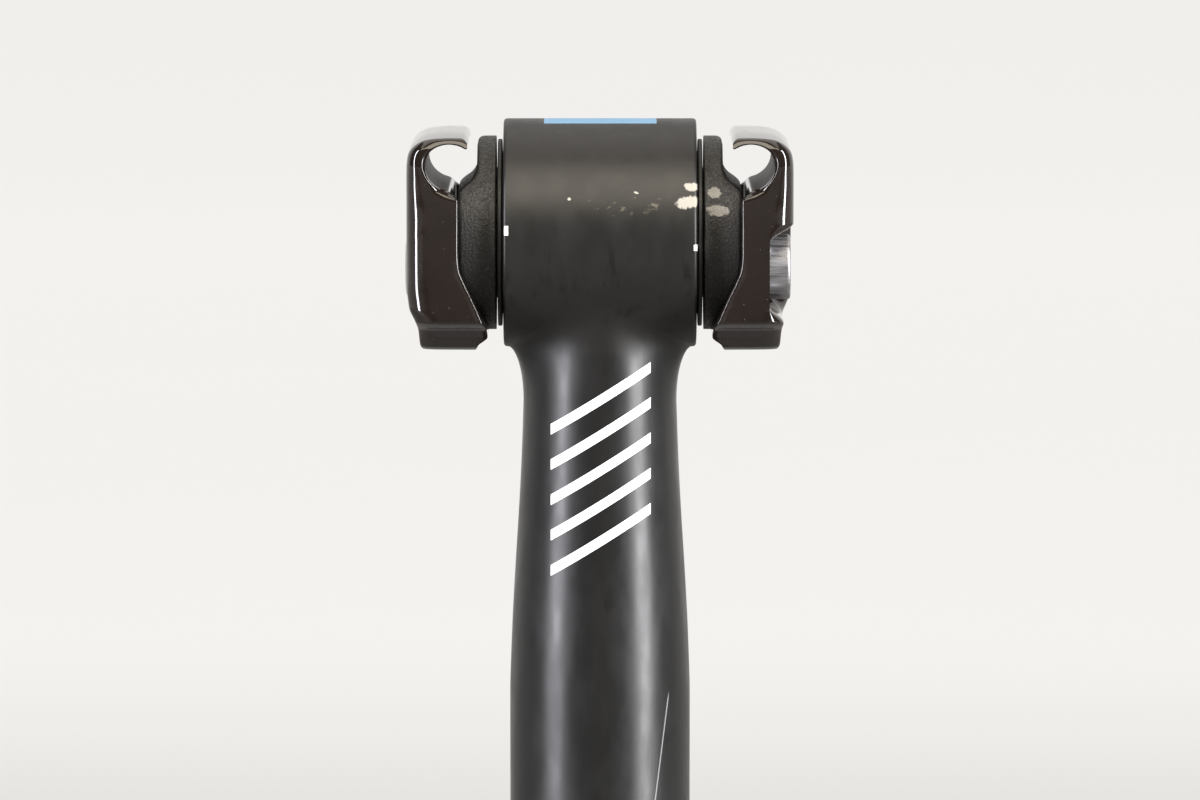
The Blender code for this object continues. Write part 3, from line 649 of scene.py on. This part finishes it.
def cradle_shells(clamp, side):
    """Cradle: level slices stacked from bottom to top, each a rectangle with rounded corners.

    A slice is as long as the disc's chord at its height and as thick as seat_profile says there. The top edge
    is rounded off, and a boss is turned behind the disc.
    """
    back, shoulder = 15.6, 1.2
    z = DISC_R * np.sin(np.linspace(-1.51, 1.51, 190))
    z = np.unique(np.concatenate([z, np.linspace(7.25, 8.6, 26), np.linspace(-6.5, -4, 10)]))
    reach = np.mean([seat_profile(z + shift, clamp) for shift in np.linspace(-0.7, 0.7, 9)], axis=0)
    above = np.clip((z - DISC_R + shoulder) / shoulder, 0, 1)
    reach = reach - shoulder * (1 - np.sqrt(1 - above ** 2))
    half = np.sqrt(DISC_R ** 2 - z ** 2)
    corner = np.minimum(0.75, 0.45 * np.minimum(half, (reach - back) / 2))
    turn = np.linspace(0, math.pi / 2, 7)
    along = np.linspace(-1, 1, 44)[1:-1]
    loops = []
    for x_sign, y_sign in ((1, 1), (-1, 1), (-1, -1), (1, -1)):
        small = corner if x_sign > 0 else corner * 0.3
        edge_x = reach if x_sign > 0 else np.full_like(reach, back)
        angle = turn if x_sign * y_sign > 0 else turn[::-1]
        arc_x = (edge_x - x_sign * small)[:, None] + x_sign * small[:, None] * np.cos(angle)
        arc_y = ((half - small) * y_sign)[:, None] + y_sign * small[:, None] * np.sin(angle)
        loops.append(np.stack([arc_x, arc_y], -1))
        if x_sign != y_sign:
            span = (half - small)[:, None] * along * x_sign
            loops.append(np.stack([np.repeat(edge_x[:, None], span.shape[1], 1), span], -1))
    flat = np.concatenate(loops, axis=1)
    points = np.concatenate([flat, np.repeat(z[:, None, None], flat.shape[1], 1)], -1)
    points[..., 0] *= side
    disc = lift([shell(points, start="face", end="face")], HEAD)
    boss = turned_ring([(3.3, 11.5), (9.8, 11.5), (9.8, 15.9), (3.3, 15.9)], 0.3, segments=96)
    return disc + lay_along_x([boss], side, HEAD)


def clamp_spine(clamp):
    """Matching points on the clamp's inner and outer sides, from the lip's tip to the foot's underside.

    The inner side is an arc round the rail, then a straight wall, a slant and the foot. The outer side runs
    over the top and down. Each of its points is matched to one numbered point of the inner side, and the rest
    lie between. Both are spaced evenly and smoothed along their length by a short running mean.
    """
    rail, centre, radius = clamp.rail_height / MM, clamp.jaw_x / MM, clamp.jaw_radius / MM
    turn = np.radians(np.linspace(130, -80, 50))
    arc = np.stack([centre + radius * np.cos(turn), rail + radius * np.sin(turn)], -1)
    wall = [(22.35, 7.2), (22.0, 6.3), (22.0, 4.4), (22.0, -2.6), (21.85, -5.1), (21.2, -7.3), (19.1, -12.1),
            (18.45, -13.4), (18.3, -14.4), (18.3, -16.3), (18.45, -16.8), (18.8, -17.0)]
    inner = np.vstack([[(19.72, 14.25), (19.74, 13.95), (19.95, 13.6)], arc, wall])
    side_x = 28.9
    over = [(19.72, 14.5), (19.76, 14.95), (20.0, 15.35), (20.45, 15.55), (22.6, 15.6), (24.6, 15.5),
            (26.4, 15.2), (27.7, 14.4), (28.6, 13.1)]
    over += [(side_x, z) for z in (11.3, 9.6, 7.8, 6.2, 5.0, 4.4, 0.0, -5.8, -7.6)]
    over += [(28.5, -10.6), (27.6, -12.3), (27.2, -13.6), (27.0, -16.2), (26.8, -16.8), (26.4, -17.0)]
    matches = [0, 1, 2, 3, 14, 22, 29, 35, 41, 46, 49, 50, 51, 52, 53, 55, *range(57, 65)]
    outer = np.stack([np.interp(np.arange(len(inner)), matches, values) for values in zip(*over)], -1)
    length = np.concatenate([[0], np.cumsum(np.hypot(*(0.5 * np.diff(inner + outer, axis=0)).T) + 0.02)])
    even = np.unique(np.concatenate([np.linspace(0, length[-1], 230), length[:8], length[-6:]]))
    sides = []
    for curve, width in ((inner, 5), (outer, 7)):
        dense = np.stack([np.interp(even, length, curve[:, i]) for i in (0, 1)], -1)
        padded = np.vstack([dense[:1]] * width + [dense] + [dense[-1:]] * width)
        kernel = np.hanning(2 * width + 3)[1:-1]
        kernel = kernel / kernel.sum()
        sides.append(np.stack([np.convolve(padded[:, i], kernel, "valid") for i in (0, 1)], -1))
    return sides


def clamp_loop(inner_round, outer_round, count=108):
    """One loop round the clamp's section across the spine, as shares of thickness and of half length.

    It goes along the inner side, over the far end, back along the outer side and over the near end. The
    corners are quarter ellipses. Each pair holds their reach in thickness and in length, for every row.
    """
    quarter = np.linspace(0, math.pi / 2, 9)
    wide = np.linspace(0, math.pi / 2, 17)
    along = np.linspace(-1, 1, count)[None]
    across = np.linspace(0, 1, 8)[None, 1:-1]
    ai, bi, ao, bo = (value[:, None] for value in (*inner_round, *outer_round))
    ones = np.ones_like(ai)
    parts = [(0 * ones * along, (1 - bi) * along),
             (ai * (1 - np.cos(quarter[1:])), 1 - bi * (1 - np.sin(quarter[1:]))),
             (ai + (1 - ai - ao) * across, ones + 0 * across),
             (1 - ao * (1 - np.sin(wide)), 1 - bo * (1 - np.cos(wide))),
             (ones + 0 * along[:, 1:-1], -(1 - bo) * along[:, 1:-1]),
             (1 - ao * (1 - np.cos(wide)), -1 + bo * (1 - np.sin(wide))),
             (1 - ao - (1 - ai - ao) * across, -ones + 0 * across),
             (ai * (1 - np.sin(quarter[:-1])), -1 + bi * (1 - np.cos(quarter[:-1])))]
    return np.concatenate([p for p, _ in parts], 1), np.concatenate([q for _, q in parts], 1)


def sink(x, y, z, side):
    """Outer face pressed in towards the post, with y and z measured from the bolt's axis.

    Right side: a trough that runs out to the front and ends round behind the bolt, with a deeper round pocket
    for the bolt's head. Left side: a round pocket for the nut.
    """
    around = np.hypot(y, z)
    if side < 0:
        depths = [(25.05, smooth_step((5.25 - around) / 0.35 + 0.5))]
    else:
        round_end = np.where(y < 0, np.abs(z), around)
        depths = [(25.3, smooth_step((6.2 - round_end) / 3.0 + 0.5)),
                  (23.8, smooth_step((5.35 - around) / 0.3 + 0.5))]
    for floor, share in depths:
        x = x + (np.minimum(x, floor) - x) * share
    return x


def clamp_shell(clamp, side):
    """Outer clamp: a rounded rectangle lofted along its spine, from the lip's tip to the foot's underside.

    The half length follows height: full in the body, drawn in at the foot and slightly at the top. The top
    is crowned and the groove's rim is rounded. Past the cradle's disc the inner face wraps in towards the
    barrel, most beside the slant and the foot. The bolt's seat is pressed in.
    """
    inner, outer = clamp_spine(clamp)
    thick = np.hypot(*(outer - inner).T)
    half, foot_end = 18.0, -17.0
    rows = np.arange(len(inner))
    tip = smooth_step(rows / 9.0)
    foot = smooth_step((rows[-1] - rows) / 7.0)
    from_rail = np.hypot(inner[:, 0] - clamp.jaw_x / MM, inner[:, 1] - clamp.rail_height / MM)
    rim = tip * smooth_step((clamp.jaw_radius / MM + 1.6 - from_rail) / 1.5)
    reach_in = np.minimum(0.3, 0.24 * thick) + rim * np.clip(0.36 * thick - 0.3, 0, 1.2)
    reach_out = np.minimum(3.3, 0.42 * thick)
    round_in = (reach_in / thick, (0.3 + 0.2 * tip * foot + 1.6 * rim) / half)
    round_out = (reach_out / thick, (0.4 + (0.2 + 2.4 * smooth_step((reach_out - 0.5) / 2.2)) * tip) / half)
    share, length = clamp_loop(round_in, round_out)
    x = inner[:, :1] + (outer[:, :1] - inner[:, :1]) * share
    z = inner[:, 1:] + (outer[:, 1:] - inner[:, 1:]) * share
    heights = [foot_end, -16.4, -15.0, -13.6, -13.0, -12.4, 11.0, 14.0, 15.6]
    y = length * np.interp(z, heights, [10.5, 12.4, 13.6, 15.2, 16.8, half, half, 17.8, 17.0])
    far = np.abs(y)
    z = z - 0.5 * np.clip((far - 5.0) / 13.0, 0, 1) ** 1.8 * smooth_step((z - 12.5) / 2.5)
    wrap = 0.95 + 0.55 * smooth_step((-3.0 - z) / 6.0)
    wrap = wrap * smooth_step((z - foot_end - 0.6) / 1.6) * smooth_step((7.0 - z) / 1.2)
    disc_end = np.sqrt(np.maximum(DISC_R ** 2 - np.minimum(z, 0) ** 2, 0)) + 0.4
    x = x - wrap * smooth_step((far - disc_end) / 0.8) * smooth_step((24.5 - x) / 3.0)
    x = sink(x, y, z + HEAD - BOLT_Z, side)
    return lift([shell(np.stack([side * x, y, z], -1), start="face", end="face")], HEAD)


def coil_shell(spring):
    """Main spring: a circle carried along a helix whose pitch is small in its first and last turn."""
    low, high = node_span("main_spring", 2)
    wire, mean, turns, end_pitch = spring.wire_radius / MM, spring.mean_radius / MM, spring.turns, 3.8
    t = np.linspace(0, turns, turns * 56 + 1)
    close = np.minimum(t, 1) + np.maximum(t - turns + 1, 0)
    open_pitch = (high - low - 2 * wire - 2 * end_pitch) / (turns - 2)
    angle = 2 * math.pi * t
    line = about_z(angle, mean, low + wire + close * end_pitch + (t - close) * open_pitch)
    ahead = np.gradient(line, axis=0)
    ahead /= np.linalg.norm(ahead, axis=1, keepdims=True)
    inward = about_z(angle, -1.0, 0.0)
    across = np.cross(ahead, inward)
    turn = full_turn(20)[None, :, None]
    points = line[:, None] + wire * (inward[:, None] * np.cos(turn) + across[:, None] * np.sin(turn))
    return [shell(points, start="face", end="face")]


def torus_shell(node):
    """An O-ring: a circle carried round a circle, sized from its node's box."""
    low, high = node_span(node, 2)
    minor = (high - low) / 2
    major = node_span(node, 0)[1] - minor
    turn = full_turn(24)
    profile = np.stack([major + minor * np.cos(turn), (low + high) / 2 + minor * np.sin(turn)], -1)
    return [turned(profile, 128, ring=True)]


def sleeve_shell(node, inner, edge, grooves=0, depth=0.0):
    """A plain ring sized from its node's box, with rounded edges and, if asked, shallow grooves round it."""
    low, high = node_span(node, 2)
    outer = node_span(node, 0)[1]
    corners = [(inner, low), (outer, low)]
    for middle in np.linspace(low, high, grooves + 2)[1:-1]:
        corners += [(outer, middle - 0.7), (outer - depth, middle - 0.45)]
        corners += [(outer - depth, middle + 0.45), (outer, middle + 0.7)]
    return [turned_ring(corners + [(outer, high), (inner, high)], edge, 4)]


def key_shell(node, number):
    """A guide key: a block with rounded edges, as rounded rectangles stacked along its length."""
    low, high = node_span(node, 2)
    angle = KEY_ANGLES[number - 1]
    corner = fillet([(13.05, -1.3), (14.25, -1.3), (14.25, 1.3), (13.05, 1.3)], 0.25, 4, closed=True)
    middle = corner.mean(0)
    half_levels = [(0.86, 0.0), (0.95, 0.08), (1.0, 0.3), (1.0, 0.6)]
    levels = [(size, low + inset) for size, inset in half_levels]
    levels += [(size, high - inset) for size, inset in reversed(half_levels)]
    rows = []
    for size, z in levels:
        out, along = (middle + (corner - middle) * size).T
        rows.append(about_z(angle + np.arctan2(along, out), np.hypot(out, along), z))
    return [shell(np.stack(rows), start="face", end="face")]


def split_ring_shell(node):
    """A retaining ring: a rounded square section carried round all but a small gap of a circle."""
    low, high = node_span(node, 2)
    inner, outer = 13.0, node_span(node, 0)[1]
    section = fillet([(inner, low), (outer, low), (outer, high), (inner, high)], 0.3, 4, closed=True)
    angle = np.radians(np.linspace(8, 352, 150))[:, None]
    return [shell(about_z(angle, section[:, 0], section[:, 1]), start="face", end="face")]


def collar_shell():
    """Collar: a turned ring whose outer radius is scalloped by twelve hollows that fade out below its rim."""
    low, high = node_span("seal_collar", 2)
    outer, bore, seat, lip, scallop_count = node_span("seal_collar", 0)[1], 16.1, 15.9, 14.0, 12
    side = [(outer, z) for z in np.linspace(high - 4.2, low + 1.4, 34)]
    corners = [(outer - 2.0, high), (outer - 0.6, high - 1.6), (outer, high - 3.2), *side, (outer - 0.9, low),
               (bore, low), (bore, 208.4), (lip, 208.4), (lip, 211.5), (seat, 211.5), (seat, high)]
    radii = [0.5, 0.6, 0.9] + [0.0] * len(side) + [0.4, 0.3, 0.2, 0.2, 0.2, 0.2, 0.4]

    def scallops(angle, height, radius):
        lobe = (angle * scallop_count / (2 * math.pi) + 0.5) % 1.0 - 0.5
        hollow = np.sqrt(np.maximum(1 - (lobe / 0.36) ** 2, 0))
        fade = smooth_step((high - 6.6 - height) / 2.4)
        return -0.75 * hollow * fade * smooth_step((radius - 17.2) / 0.6)
    return [turned(fillet(corners, radii, 4, closed=True), 288, ring=True, lobes=scallops)]


# ---------------------------------------------------------------- operators


class SEATPOST_OT_post(bpy.types.Operator):
    """Builds the barrel, neck and shaft"""
    bl_idname = "seatpost.post"
    bl_label = "Post"

    def execute(self, context):
        scene = context.scene
        shells = barrel_shell(scene.seatpost_head) + shaft_shell(scene.seatpost_head)
        add_piece("post", shells, "shaft", ["post_shaft"], satin_black(scene.seatpost_colours))
        return {"FINISHED"}


class SEATPOST_OT_inserts(bpy.types.Operator):
    """Builds the two bearing inserts in the barrel's ends"""
    bl_idname = "seatpost.inserts"
    bl_label = "Barrel inserts"

    def execute(self, context):
        finish = polymer("insert_polymer", (0.012, 0.012, 0.012), 0.55)
        corners = [(14.1, 15.35), (14.1, 14.7), (12.2, 14.7), (12.2, 8.5), (10.0, 8.5), (10.0, 15.35)]
        for name, side in SIDES.items():
            shells = lay_along_x([turned_ring(corners, 0.2, 4, 160)], side, HEAD)
            add_piece(f"insert_{name}", shells, "shaft", [f"barrel_insert_{name}"], finish)
        return {"FINISHED"}


class SEATPOST_OT_cradles(bpy.types.Operator):
    """Builds the two inner cradles"""
    bl_idname = "seatpost.cradles"
    bl_label = "Inner cradles"

    def execute(self, context):
        clamp = context.scene.seatpost_clamp
        finish = cast_black(context.scene.seatpost_colours)
        for name, side in SIDES.items():
            add_piece(f"cradle_{name}", cradle_shells(clamp, side), "cradles", [f"inner_cradle_{name}"],
                      finish, sharp=50)
        return {"FINISHED"}


class SEATPOST_OT_clamps(bpy.types.Operator):
    """Builds the two outer clamps"""
    bl_idname = "seatpost.clamps"
    bl_label = "Outer clamps"

    def execute(self, context):
        clamp = context.scene.seatpost_clamp
        finish = gloss_black(context.scene.seatpost_colours, clamp)
        for name, side in SIDES.items():
            add_piece(f"clamp_{name}", clamp_shell(clamp, side), f"{name}_clamp", [f"outer_clamp_{name}"],
                      finish, sharp=55)
        return {"FINISHED"}


class SEATPOST_OT_bolt(bpy.types.Operator):
    """Builds the clamp bolt, its washer and its nut"""
    bl_idname = "seatpost.bolt"
    bl_label = "Clamp bolt"

    def execute(self, context):
        steel = metal("bolt_steel", (0.36, 0.355, 0.36), 0.46, (0.1, 1, 1))
        plain = metal("washer_steel", (0.42, 0.42, 0.43), 0.28, (1, 1, 1))
        tail, tip = node_span("clamp_bolt", 0)
        shank_r, head_r, key_flats, head_back = 3.0, 4.9, 5.0, 3.75
        shank = [(0, tail), (2.3, tail), (2.9, tail + 0.7)]
        shank += [(shank_r, x) for x in np.arange(tail + 0.9, tail + 26, 0.16)]
        shank += [(shank_r, x) for x in (tail + 27, tip - 4.2, tip - 3.8)]
        shank += [(3.3, tip - 3.8), (0, tip - 3.8)]
        threads = thread(1.0, 0.5, tail + 0.4, tail + 25)
        corners = [(shank_r, tip - head_back), (head_r, tip - head_back), (head_r, tip), (3.4, tip)]
        head = fillet(corners, (0, 0.35, 0.5, 0))
        shells = [turned(shank, 48, lobes=threads), socketed_bar(head, key_flats, tip, tip - 2.6)]
        add_piece("bolt", lay_along_x(shells, 1.0, BOLT_Z), "bolt", ["clamp_bolt"], steel)

        low, high = node_span("bolt_washer", 0)
        washer = turned_ring([(3.3, low), (head_r, low), (head_r, high), (3.3, high)], 0.12, 3, 96)
        shells = lay_along_x([washer], 1.0, BOLT_Z)
        add_piece("washer", shells, "right_clamp", ["bolt_washer"], plain)

        nut_finish = gloss_nut()
        outer, nut_r = -node_span("clamp_nut", 0)[0], 4.95
        corners = [(0, 25.3), (nut_r, 25.3), (nut_r, outer - 0.45), (3.9, outer), (0, outer)]
        disc = turned(fillet(corners, (0, 0.2, 0.4, 0.5, 0)), 128)
        angle = full_turn(96)
        rim = hexagon_radius(angle, 8.4)
        levels = [(0.8, 22.4), (0.95, 22.4), (1.0, 22.8), (1.0, 23.4), (1.0, 25.5)]
        stem = shell(np.stack([about_z(angle, rim * size, z) for size, z in levels]))
        shells = lay_along_x([disc, stem], -1.0, BOLT_Z)
        add_piece("nut", shells, "left_clamp", ["clamp_nut"], nut_finish)
        return {"FINISHED"}


class SEATPOST_OT_lower_tube(bpy.types.Operator):
    """Builds the lower tube"""
    bl_idname = "seatpost.lower_tube"
    bl_label = "Lower tube"

    def execute(self, context):
        low, high = node_span("lower_tube", 2)
        outer, bore = node_span("lower_tube", 0)[1], 14.5
        corners = [(bore, low), (outer, low), (outer, high), (bore, high)]
        shells = [turned_ring(corners, (0.3, 0.5, 0.5, 0.3), 4, 256)]
        add_piece("tube", shells, "lower_assembly", ["lower_tube"],
                  graduated_black(context.scene.seatpost_colours))
        return {"FINISHED"}


class SEATPOST_OT_collar(bpy.types.Operator):
    """Builds the collar, its wiper seal and the two O-rings"""
    bl_idname = "seatpost.collar"
    bl_label = "Collar and seals"

    def execute(self, context):
        anodised = metal("collar_black", (0.030, 0.030, 0.032), 0.30, (0.2, 0.2, 1.0), 0.4)
        rubber = polymer("seal_rubber", (0.012, 0.012, 0.012), 0.7, 0.2, 0.03, 0.35)
        add_piece("collar", collar_shell(), "lower_assembly", ["seal_collar"], anodised)
        corners = [(15.1, 217.4), (15.6, 216.6), (15.6, 211.8), (13.9, 211.8), (14.25, 214.5), (13.75, 217.8)]
        wiper = turned_ring(corners, (0.3, 0.3, 0.2, 0.2, 0.6, 0.15), 5, 192)
        add_piece("wiper", [wiper], "lower_assembly", ["wiper_seal"], rubber)
        for name, node, body in (("collar_ring", "collar_o_ring", "lower_assembly"),
                                 ("plug_ring", "plug_o_ring", "preload_screw")):
            add_piece(name, torus_shell(node), body, [node], rubber)
        return {"FINISHED"}


class SEATPOST_OT_guides(bpy.types.Operator):
    """Builds the bushings, the keys and the stops that guide the shaft"""
    bl_idname = "seatpost.guides"
    bl_label = "Bushings, keys and stops"

    def execute(self, context):
        bearing = polymer("bearing_polymer", (0.50, 0.47, 0.40), 0.45, 0.3, 0.01)
        rubber = polymer("stop_rubber", (0.016, 0.016, 0.016), 0.75, 0.3, 0.03, 0.3)
        brass = metal("brass", (0.62, 0.44, 0.16), 0.25, (1, 1, 0.1))
        steel = metal("ring_steel", (0.34, 0.34, 0.35), 0.25, (0.3, 0.3, 1))
        liner = 13.75
        for end, body, grooves in (("upper", "lower_assembly", 3), ("lower", "shaft", 2)):
            node = f"{end}_bushing"
            add_piece(f"bushing_{end}", sleeve_shell(node, liner, 0.12, grooves, 0.2), body, [node],
                      bearing)
        for number in (1, 2, 3):
            node = f"guide_key_{number}"
            add_piece(f"key_{number}", key_shell(node, number), "lower_assembly", [node], brass)
        stops = (("stop_upper", "top_out_bumper", "shaft", (liner, 0.15, 1, 0.25)),
                 ("stop_lower", "bottom_out_bumper", "preload_carrier", (10.6, 0.9, 1, 0.6)))
        for name, node, body, sizes in stops:
            add_piece(name, sleeve_shell(node, *sizes), body, [node], rubber)
        node = "retaining_ring"
        add_piece("snap_ring", split_ring_shell(node), "shaft", [node], steel)
        return {"FINISHED"}


class SEATPOST_OT_spring(bpy.types.Operator):
    """Builds the main spring, the elastomer core and the cushion above them"""
    bl_idname = "seatpost.spring"
    bl_label = "Spring and elastomers"

    def execute(self, context):
        wire = metal("spring_steel", (0.10, 0.10, 0.11), 0.34, (1, 1, 1), 0.8)
        amber = polymer("elastomer", (0.34, 0.20, 0.05), 0.5, 0.5, 0.02)
        shells = coil_shell(context.scene.seatpost_spring)
        coil = add_piece("coil", shells, "preload_carrier", ["main_spring"], wire)
        low, high = node_span("elastomer_core", 2)
        core_r, waist_r, ribs = 5.3, 4.75, 12
        corners = [(0, high), (core_r, high)]
        for i in range(ribs):
            middle = high - (high - low) * (i + 0.5) / ribs
            corners += [(core_r, middle + 1.6), (waist_r, middle + 0.8)]
            corners += [(waist_r, middle - 0.8), (core_r, middle - 1.6)]
        corners += [(core_r, low), (0, low)]
        core = add_piece("core", [turned(fillet(corners, 0.7, 4), 64)], "preload_carrier", ["elastomer_core"],
                         amber)
        for piece, node in ((coil, "main_spring"), (core, "elastomer_core")):
            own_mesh(piece)
        cushion = add_piece("cushion", sleeve_shell("spring_top_cushion", 6.0, 0.7, 1, 0.7), "shaft",
                            ["spring_top_cushion"], amber)
        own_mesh(cushion)
        return {"FINISHED"}


class SEATPOST_OT_seats(bpy.types.Operator):
    """Builds the spring seats, the pin that holds the upper one and the preload plug"""
    bl_idname = "seatpost.seats"
    bl_label = "Spring seats and plug"

    def execute(self, context):
        alloy = metal("machined_alloy", (0.55, 0.55, 0.56), 0.30, (0.2, 0.2, 1.0), 0.4)
        steel = metal("pin_steel", (0.40, 0.40, 0.41), 0.2, (0.1, 1, 1))
        spigot = 5.6
        low, high = node_span("spring_seat_lower", 2)
        flange = node_span("spring_seat_lower", 0)[1]
        step = low + 5.6
        corners = [(0, high), (spigot, high), (spigot, step), (flange, step), (flange, low), (0, low)]
        seat = turned(fillet(corners, (0, 0.8, 0.5, 0.5, 0.5, 0), 4), 128)
        add_piece("seat_lower", [seat], "preload_carrier", ["spring_seat_lower"], alloy)
        low, high = node_span("spring_seat_upper", 2)
        flange = node_span("spring_seat_upper", 0)[1]
        step = high - 7.4
        corners = [(0, high), (flange, high), (flange, step), (spigot, step), (spigot, low), (0, low)]
        seat = turned(fillet(corners, (0, 0.6, 0.4, 0.5, 0.8, 0), 4), 128)
        add_piece("seat_upper", [seat], "shaft", ["spring_seat_upper"], alloy)
        low, high = node_span("upper_seat_pin", 2)
        half, pin_r = node_span("upper_seat_pin", 0)[1], 2.0
        pin = turned(fillet([(0, -half), (pin_r, -half), (pin_r, half), (0, half)], (0, 0.4, 0.4, 0), 4), 48)
        shells = lay_along_x([pin], 1.0, (low + high) / 2)
        add_piece("pin", shells, "shaft", ["upper_seat_pin"], steel)

        low, high = node_span("preload_plug", 2)
        outer, root = 14.2, 13.6
        outline = [(0, high), (13.3, high), (root, high - 0.3), (root, 12.2), (12.7, 12.0), (12.6, 11.8),
                   (12.6, 9.8), (12.8, 9.6), (14.1, 9.5), (outer, 9.3)]
        for crest in (8.8, 7.3, 5.8, 4.3):
            outline += [(outer, crest), (root, crest - 0.3), (root, crest - 0.5), (outer, crest - 0.8)]
        outline += [(outer, low + 1.2), (14.1, low + 0.8), (13.4, low), (8.0, low), (5.6, low)]
        plug = socketed_bar(outline, 8.0, low, low + 7.8, 144)
        add_piece("plug", [plug], "preload_screw", ["preload_plug"], alloy)
        return {"FINISHED"}


class SEATPOST_OT_stage(bpy.types.Operator):
    """Builds the studio: pale sweep, soft lights, and the camera"""
    bl_idname = "seatpost.stage"
    bl_label = "Studio"

    def execute(self, context):
        scene = context.scene
        studio = scene.seatpost_studio
        self.sweep()
        target = Vector((0.0, 0.0, HEAD * MM - studio.target_drop))
        self.softbox("light_left", (-1.05, -0.62, 0.64), (0.26, 1.3), 38.0, (0.94, 0.93, 1.0), target)
        self.softbox("light_right", (1.05, -0.62, 0.64), (0.30, 1.3), 55.0, (0.98, 0.98, 1.0), target)
        self.softbox("light_top", (0.0, -0.85, 1.40), (1.2, 1.0), 23.5, (1.0, 0.90, 0.74), target)
        self.softbox("light_above", (0.0, 0.45, 1.65), (1.2, 1.1), 7.0, (1.0, 0.95, 0.88), target)
        world = bpy.data.worlds.new("studio_air")
        world.use_nodes = True
        background = world.node_tree.nodes["Background"]
        background.inputs[0].default_value = (1.0, 0.99, 0.975, 1.0)
        background.inputs[1].default_value = 0.06
        scene.world = world
        scene.view_settings.view_transform = "Standard"
        data = bpy.data.cameras.new("camera")
        data.sensor_width = 36.0
        data.lens = data.sensor_width * studio.distance / studio.frame_width
        level, rise = math.cos(studio.elevation), math.sin(studio.elevation)
        place = target + Vector((0, -level, rise)) * studio.distance
        scene.camera = self.aimed("camera", data, place, target)
        return {"FINISHED"}

    @staticmethod
    def aimed(name, data, place, target):
        """Links a lamp or a camera to the scene, standing at a place and facing the target."""
        made = bpy.data.objects.new(name, data)
        made.location = place
        made.rotation_euler = (target - made.location).to_track_quat("-Z", "Y").to_euler()
        bpy.context.scene.collection.objects.link(made)
        return made

    def softbox(self, name, place, size, power, colour, target):
        data = bpy.data.lights.new(name, "AREA")
        data.shape = "RECTANGLE"
        data.size, data.size_y = size
        data.energy = power
        data.color = colour
        self.aimed(name, data, place, target)

    @staticmethod
    def sweep():
        """Floor and backdrop in one sheet: level, then a quarter circle, then upright, swept along X.

        Its glow grows towards the backdrop and far out on the other sides, and is weak round the post.
        """
        wide, start, bend, top, sunk = 14.0, 5.0, 1.5, 7.0, 0.0004
        turn = np.linspace(0, math.pi / 2, 24)
        y = np.concatenate([[-wide, -5.0, -2.0, 0.0, 2.0], start + bend * np.sin(turn), [start + bend] * 2])
        z = np.concatenate([[0.0] * 5, bend - bend * np.cos(turn), [3.0, top]]) - sunk
        x = np.linspace(-wide, wide, 29)
        grid = np.stack(np.broadcast_arrays(x[None, :], y[:, None], z[:, None]), -1)
        rows, columns = grid.shape[:2]
        corner = (np.arange(rows - 1)[:, None] * columns + np.arange(columns - 1)).ravel()
        faces = np.stack([corner, corner + 1, corner + columns + 1, corner + columns], -1)
        mesh = bpy.data.meshes.new("studio_sweep")
        mesh.from_pydata(grid.reshape(-1, 3).tolist(), [], faces.tolist())
        mesh.shade_smooth()
        look = Look("studio_paper", 0.9, Specular_IOR_Level=0.1, Emission_Color=(1.0, 0.985, 0.96, 1.0))
        look.wire("Base Color", look.mix(look.noise(400.0, 2.0), (0.145, 0.143, 0.14), (0.16, 0.158, 0.155)))
        level = look.most(look.ramp(look.y, 0.3, 2.5, 0.02, 0.815), look.ramp(look.y, -7.0, -3.0, 0.6, 0.0),
                          look.ramp(look.calc("ABSOLUTE", look.x), 0.6, 2.0, 0.0, 0.6))
        look.wire("Emission Strength", level)
        mesh.materials.append(look.material)
        floor = bpy.data.objects.new("studio_sweep", mesh)
        bpy.context.scene.collection.objects.link(floor)


class SEATPOST_PT_panel(bpy.types.Panel):
    """Lists the settings and the steps that build the seatpost"""
    bl_idname = "SEATPOST_PT_panel"
    bl_label = "Seatpost"
    bl_space_type = "VIEW_3D"
    bl_region_type = "UI"
    bl_category = "Seatpost"

    def draw(self, context):
        for group in GROUPS:
            box = self.layout.box()
            settings = getattr(context.scene, group)
            for name in settings.__annotations__:
                box.prop(settings, name)
        for step in STEPS:
            self.layout.operator(step.bl_idname)


GROUPS = {
    "seatpost_head": SeatpostHead,
    "seatpost_clamp": SeatpostClamp,
    "seatpost_spring": SeatpostSpring,
    "seatpost_colours": SeatpostColours,
    "seatpost_studio": SeatpostStudio,
}
STEPS = (SEATPOST_OT_stage, SEATPOST_OT_post, SEATPOST_OT_inserts, SEATPOST_OT_cradles, SEATPOST_OT_clamps,
         SEATPOST_OT_bolt, SEATPOST_OT_lower_tube, SEATPOST_OT_collar, SEATPOST_OT_guides, SEATPOST_OT_spring,
         SEATPOST_OT_seats)


def register():
    for kind in (*GROUPS.values(), *STEPS, SEATPOST_PT_panel):
        bpy.utils.register_class(kind)
    for name, kind in GROUPS.items():
        setattr(bpy.types.Scene, name, PointerProperty(type=kind))


def unregister():
    for name in GROUPS:
        delattr(bpy.types.Scene, name)
    for kind in reversed((*GROUPS.values(), *STEPS, SEATPOST_PT_panel)):
        bpy.utils.unregister_class(kind)


def main():
    register()
    for step in STEPS:
        module, name = step.bl_idname.split(".")
        getattr(getattr(bpy.ops, module), name)()


if __name__ == "__main__":
    main()
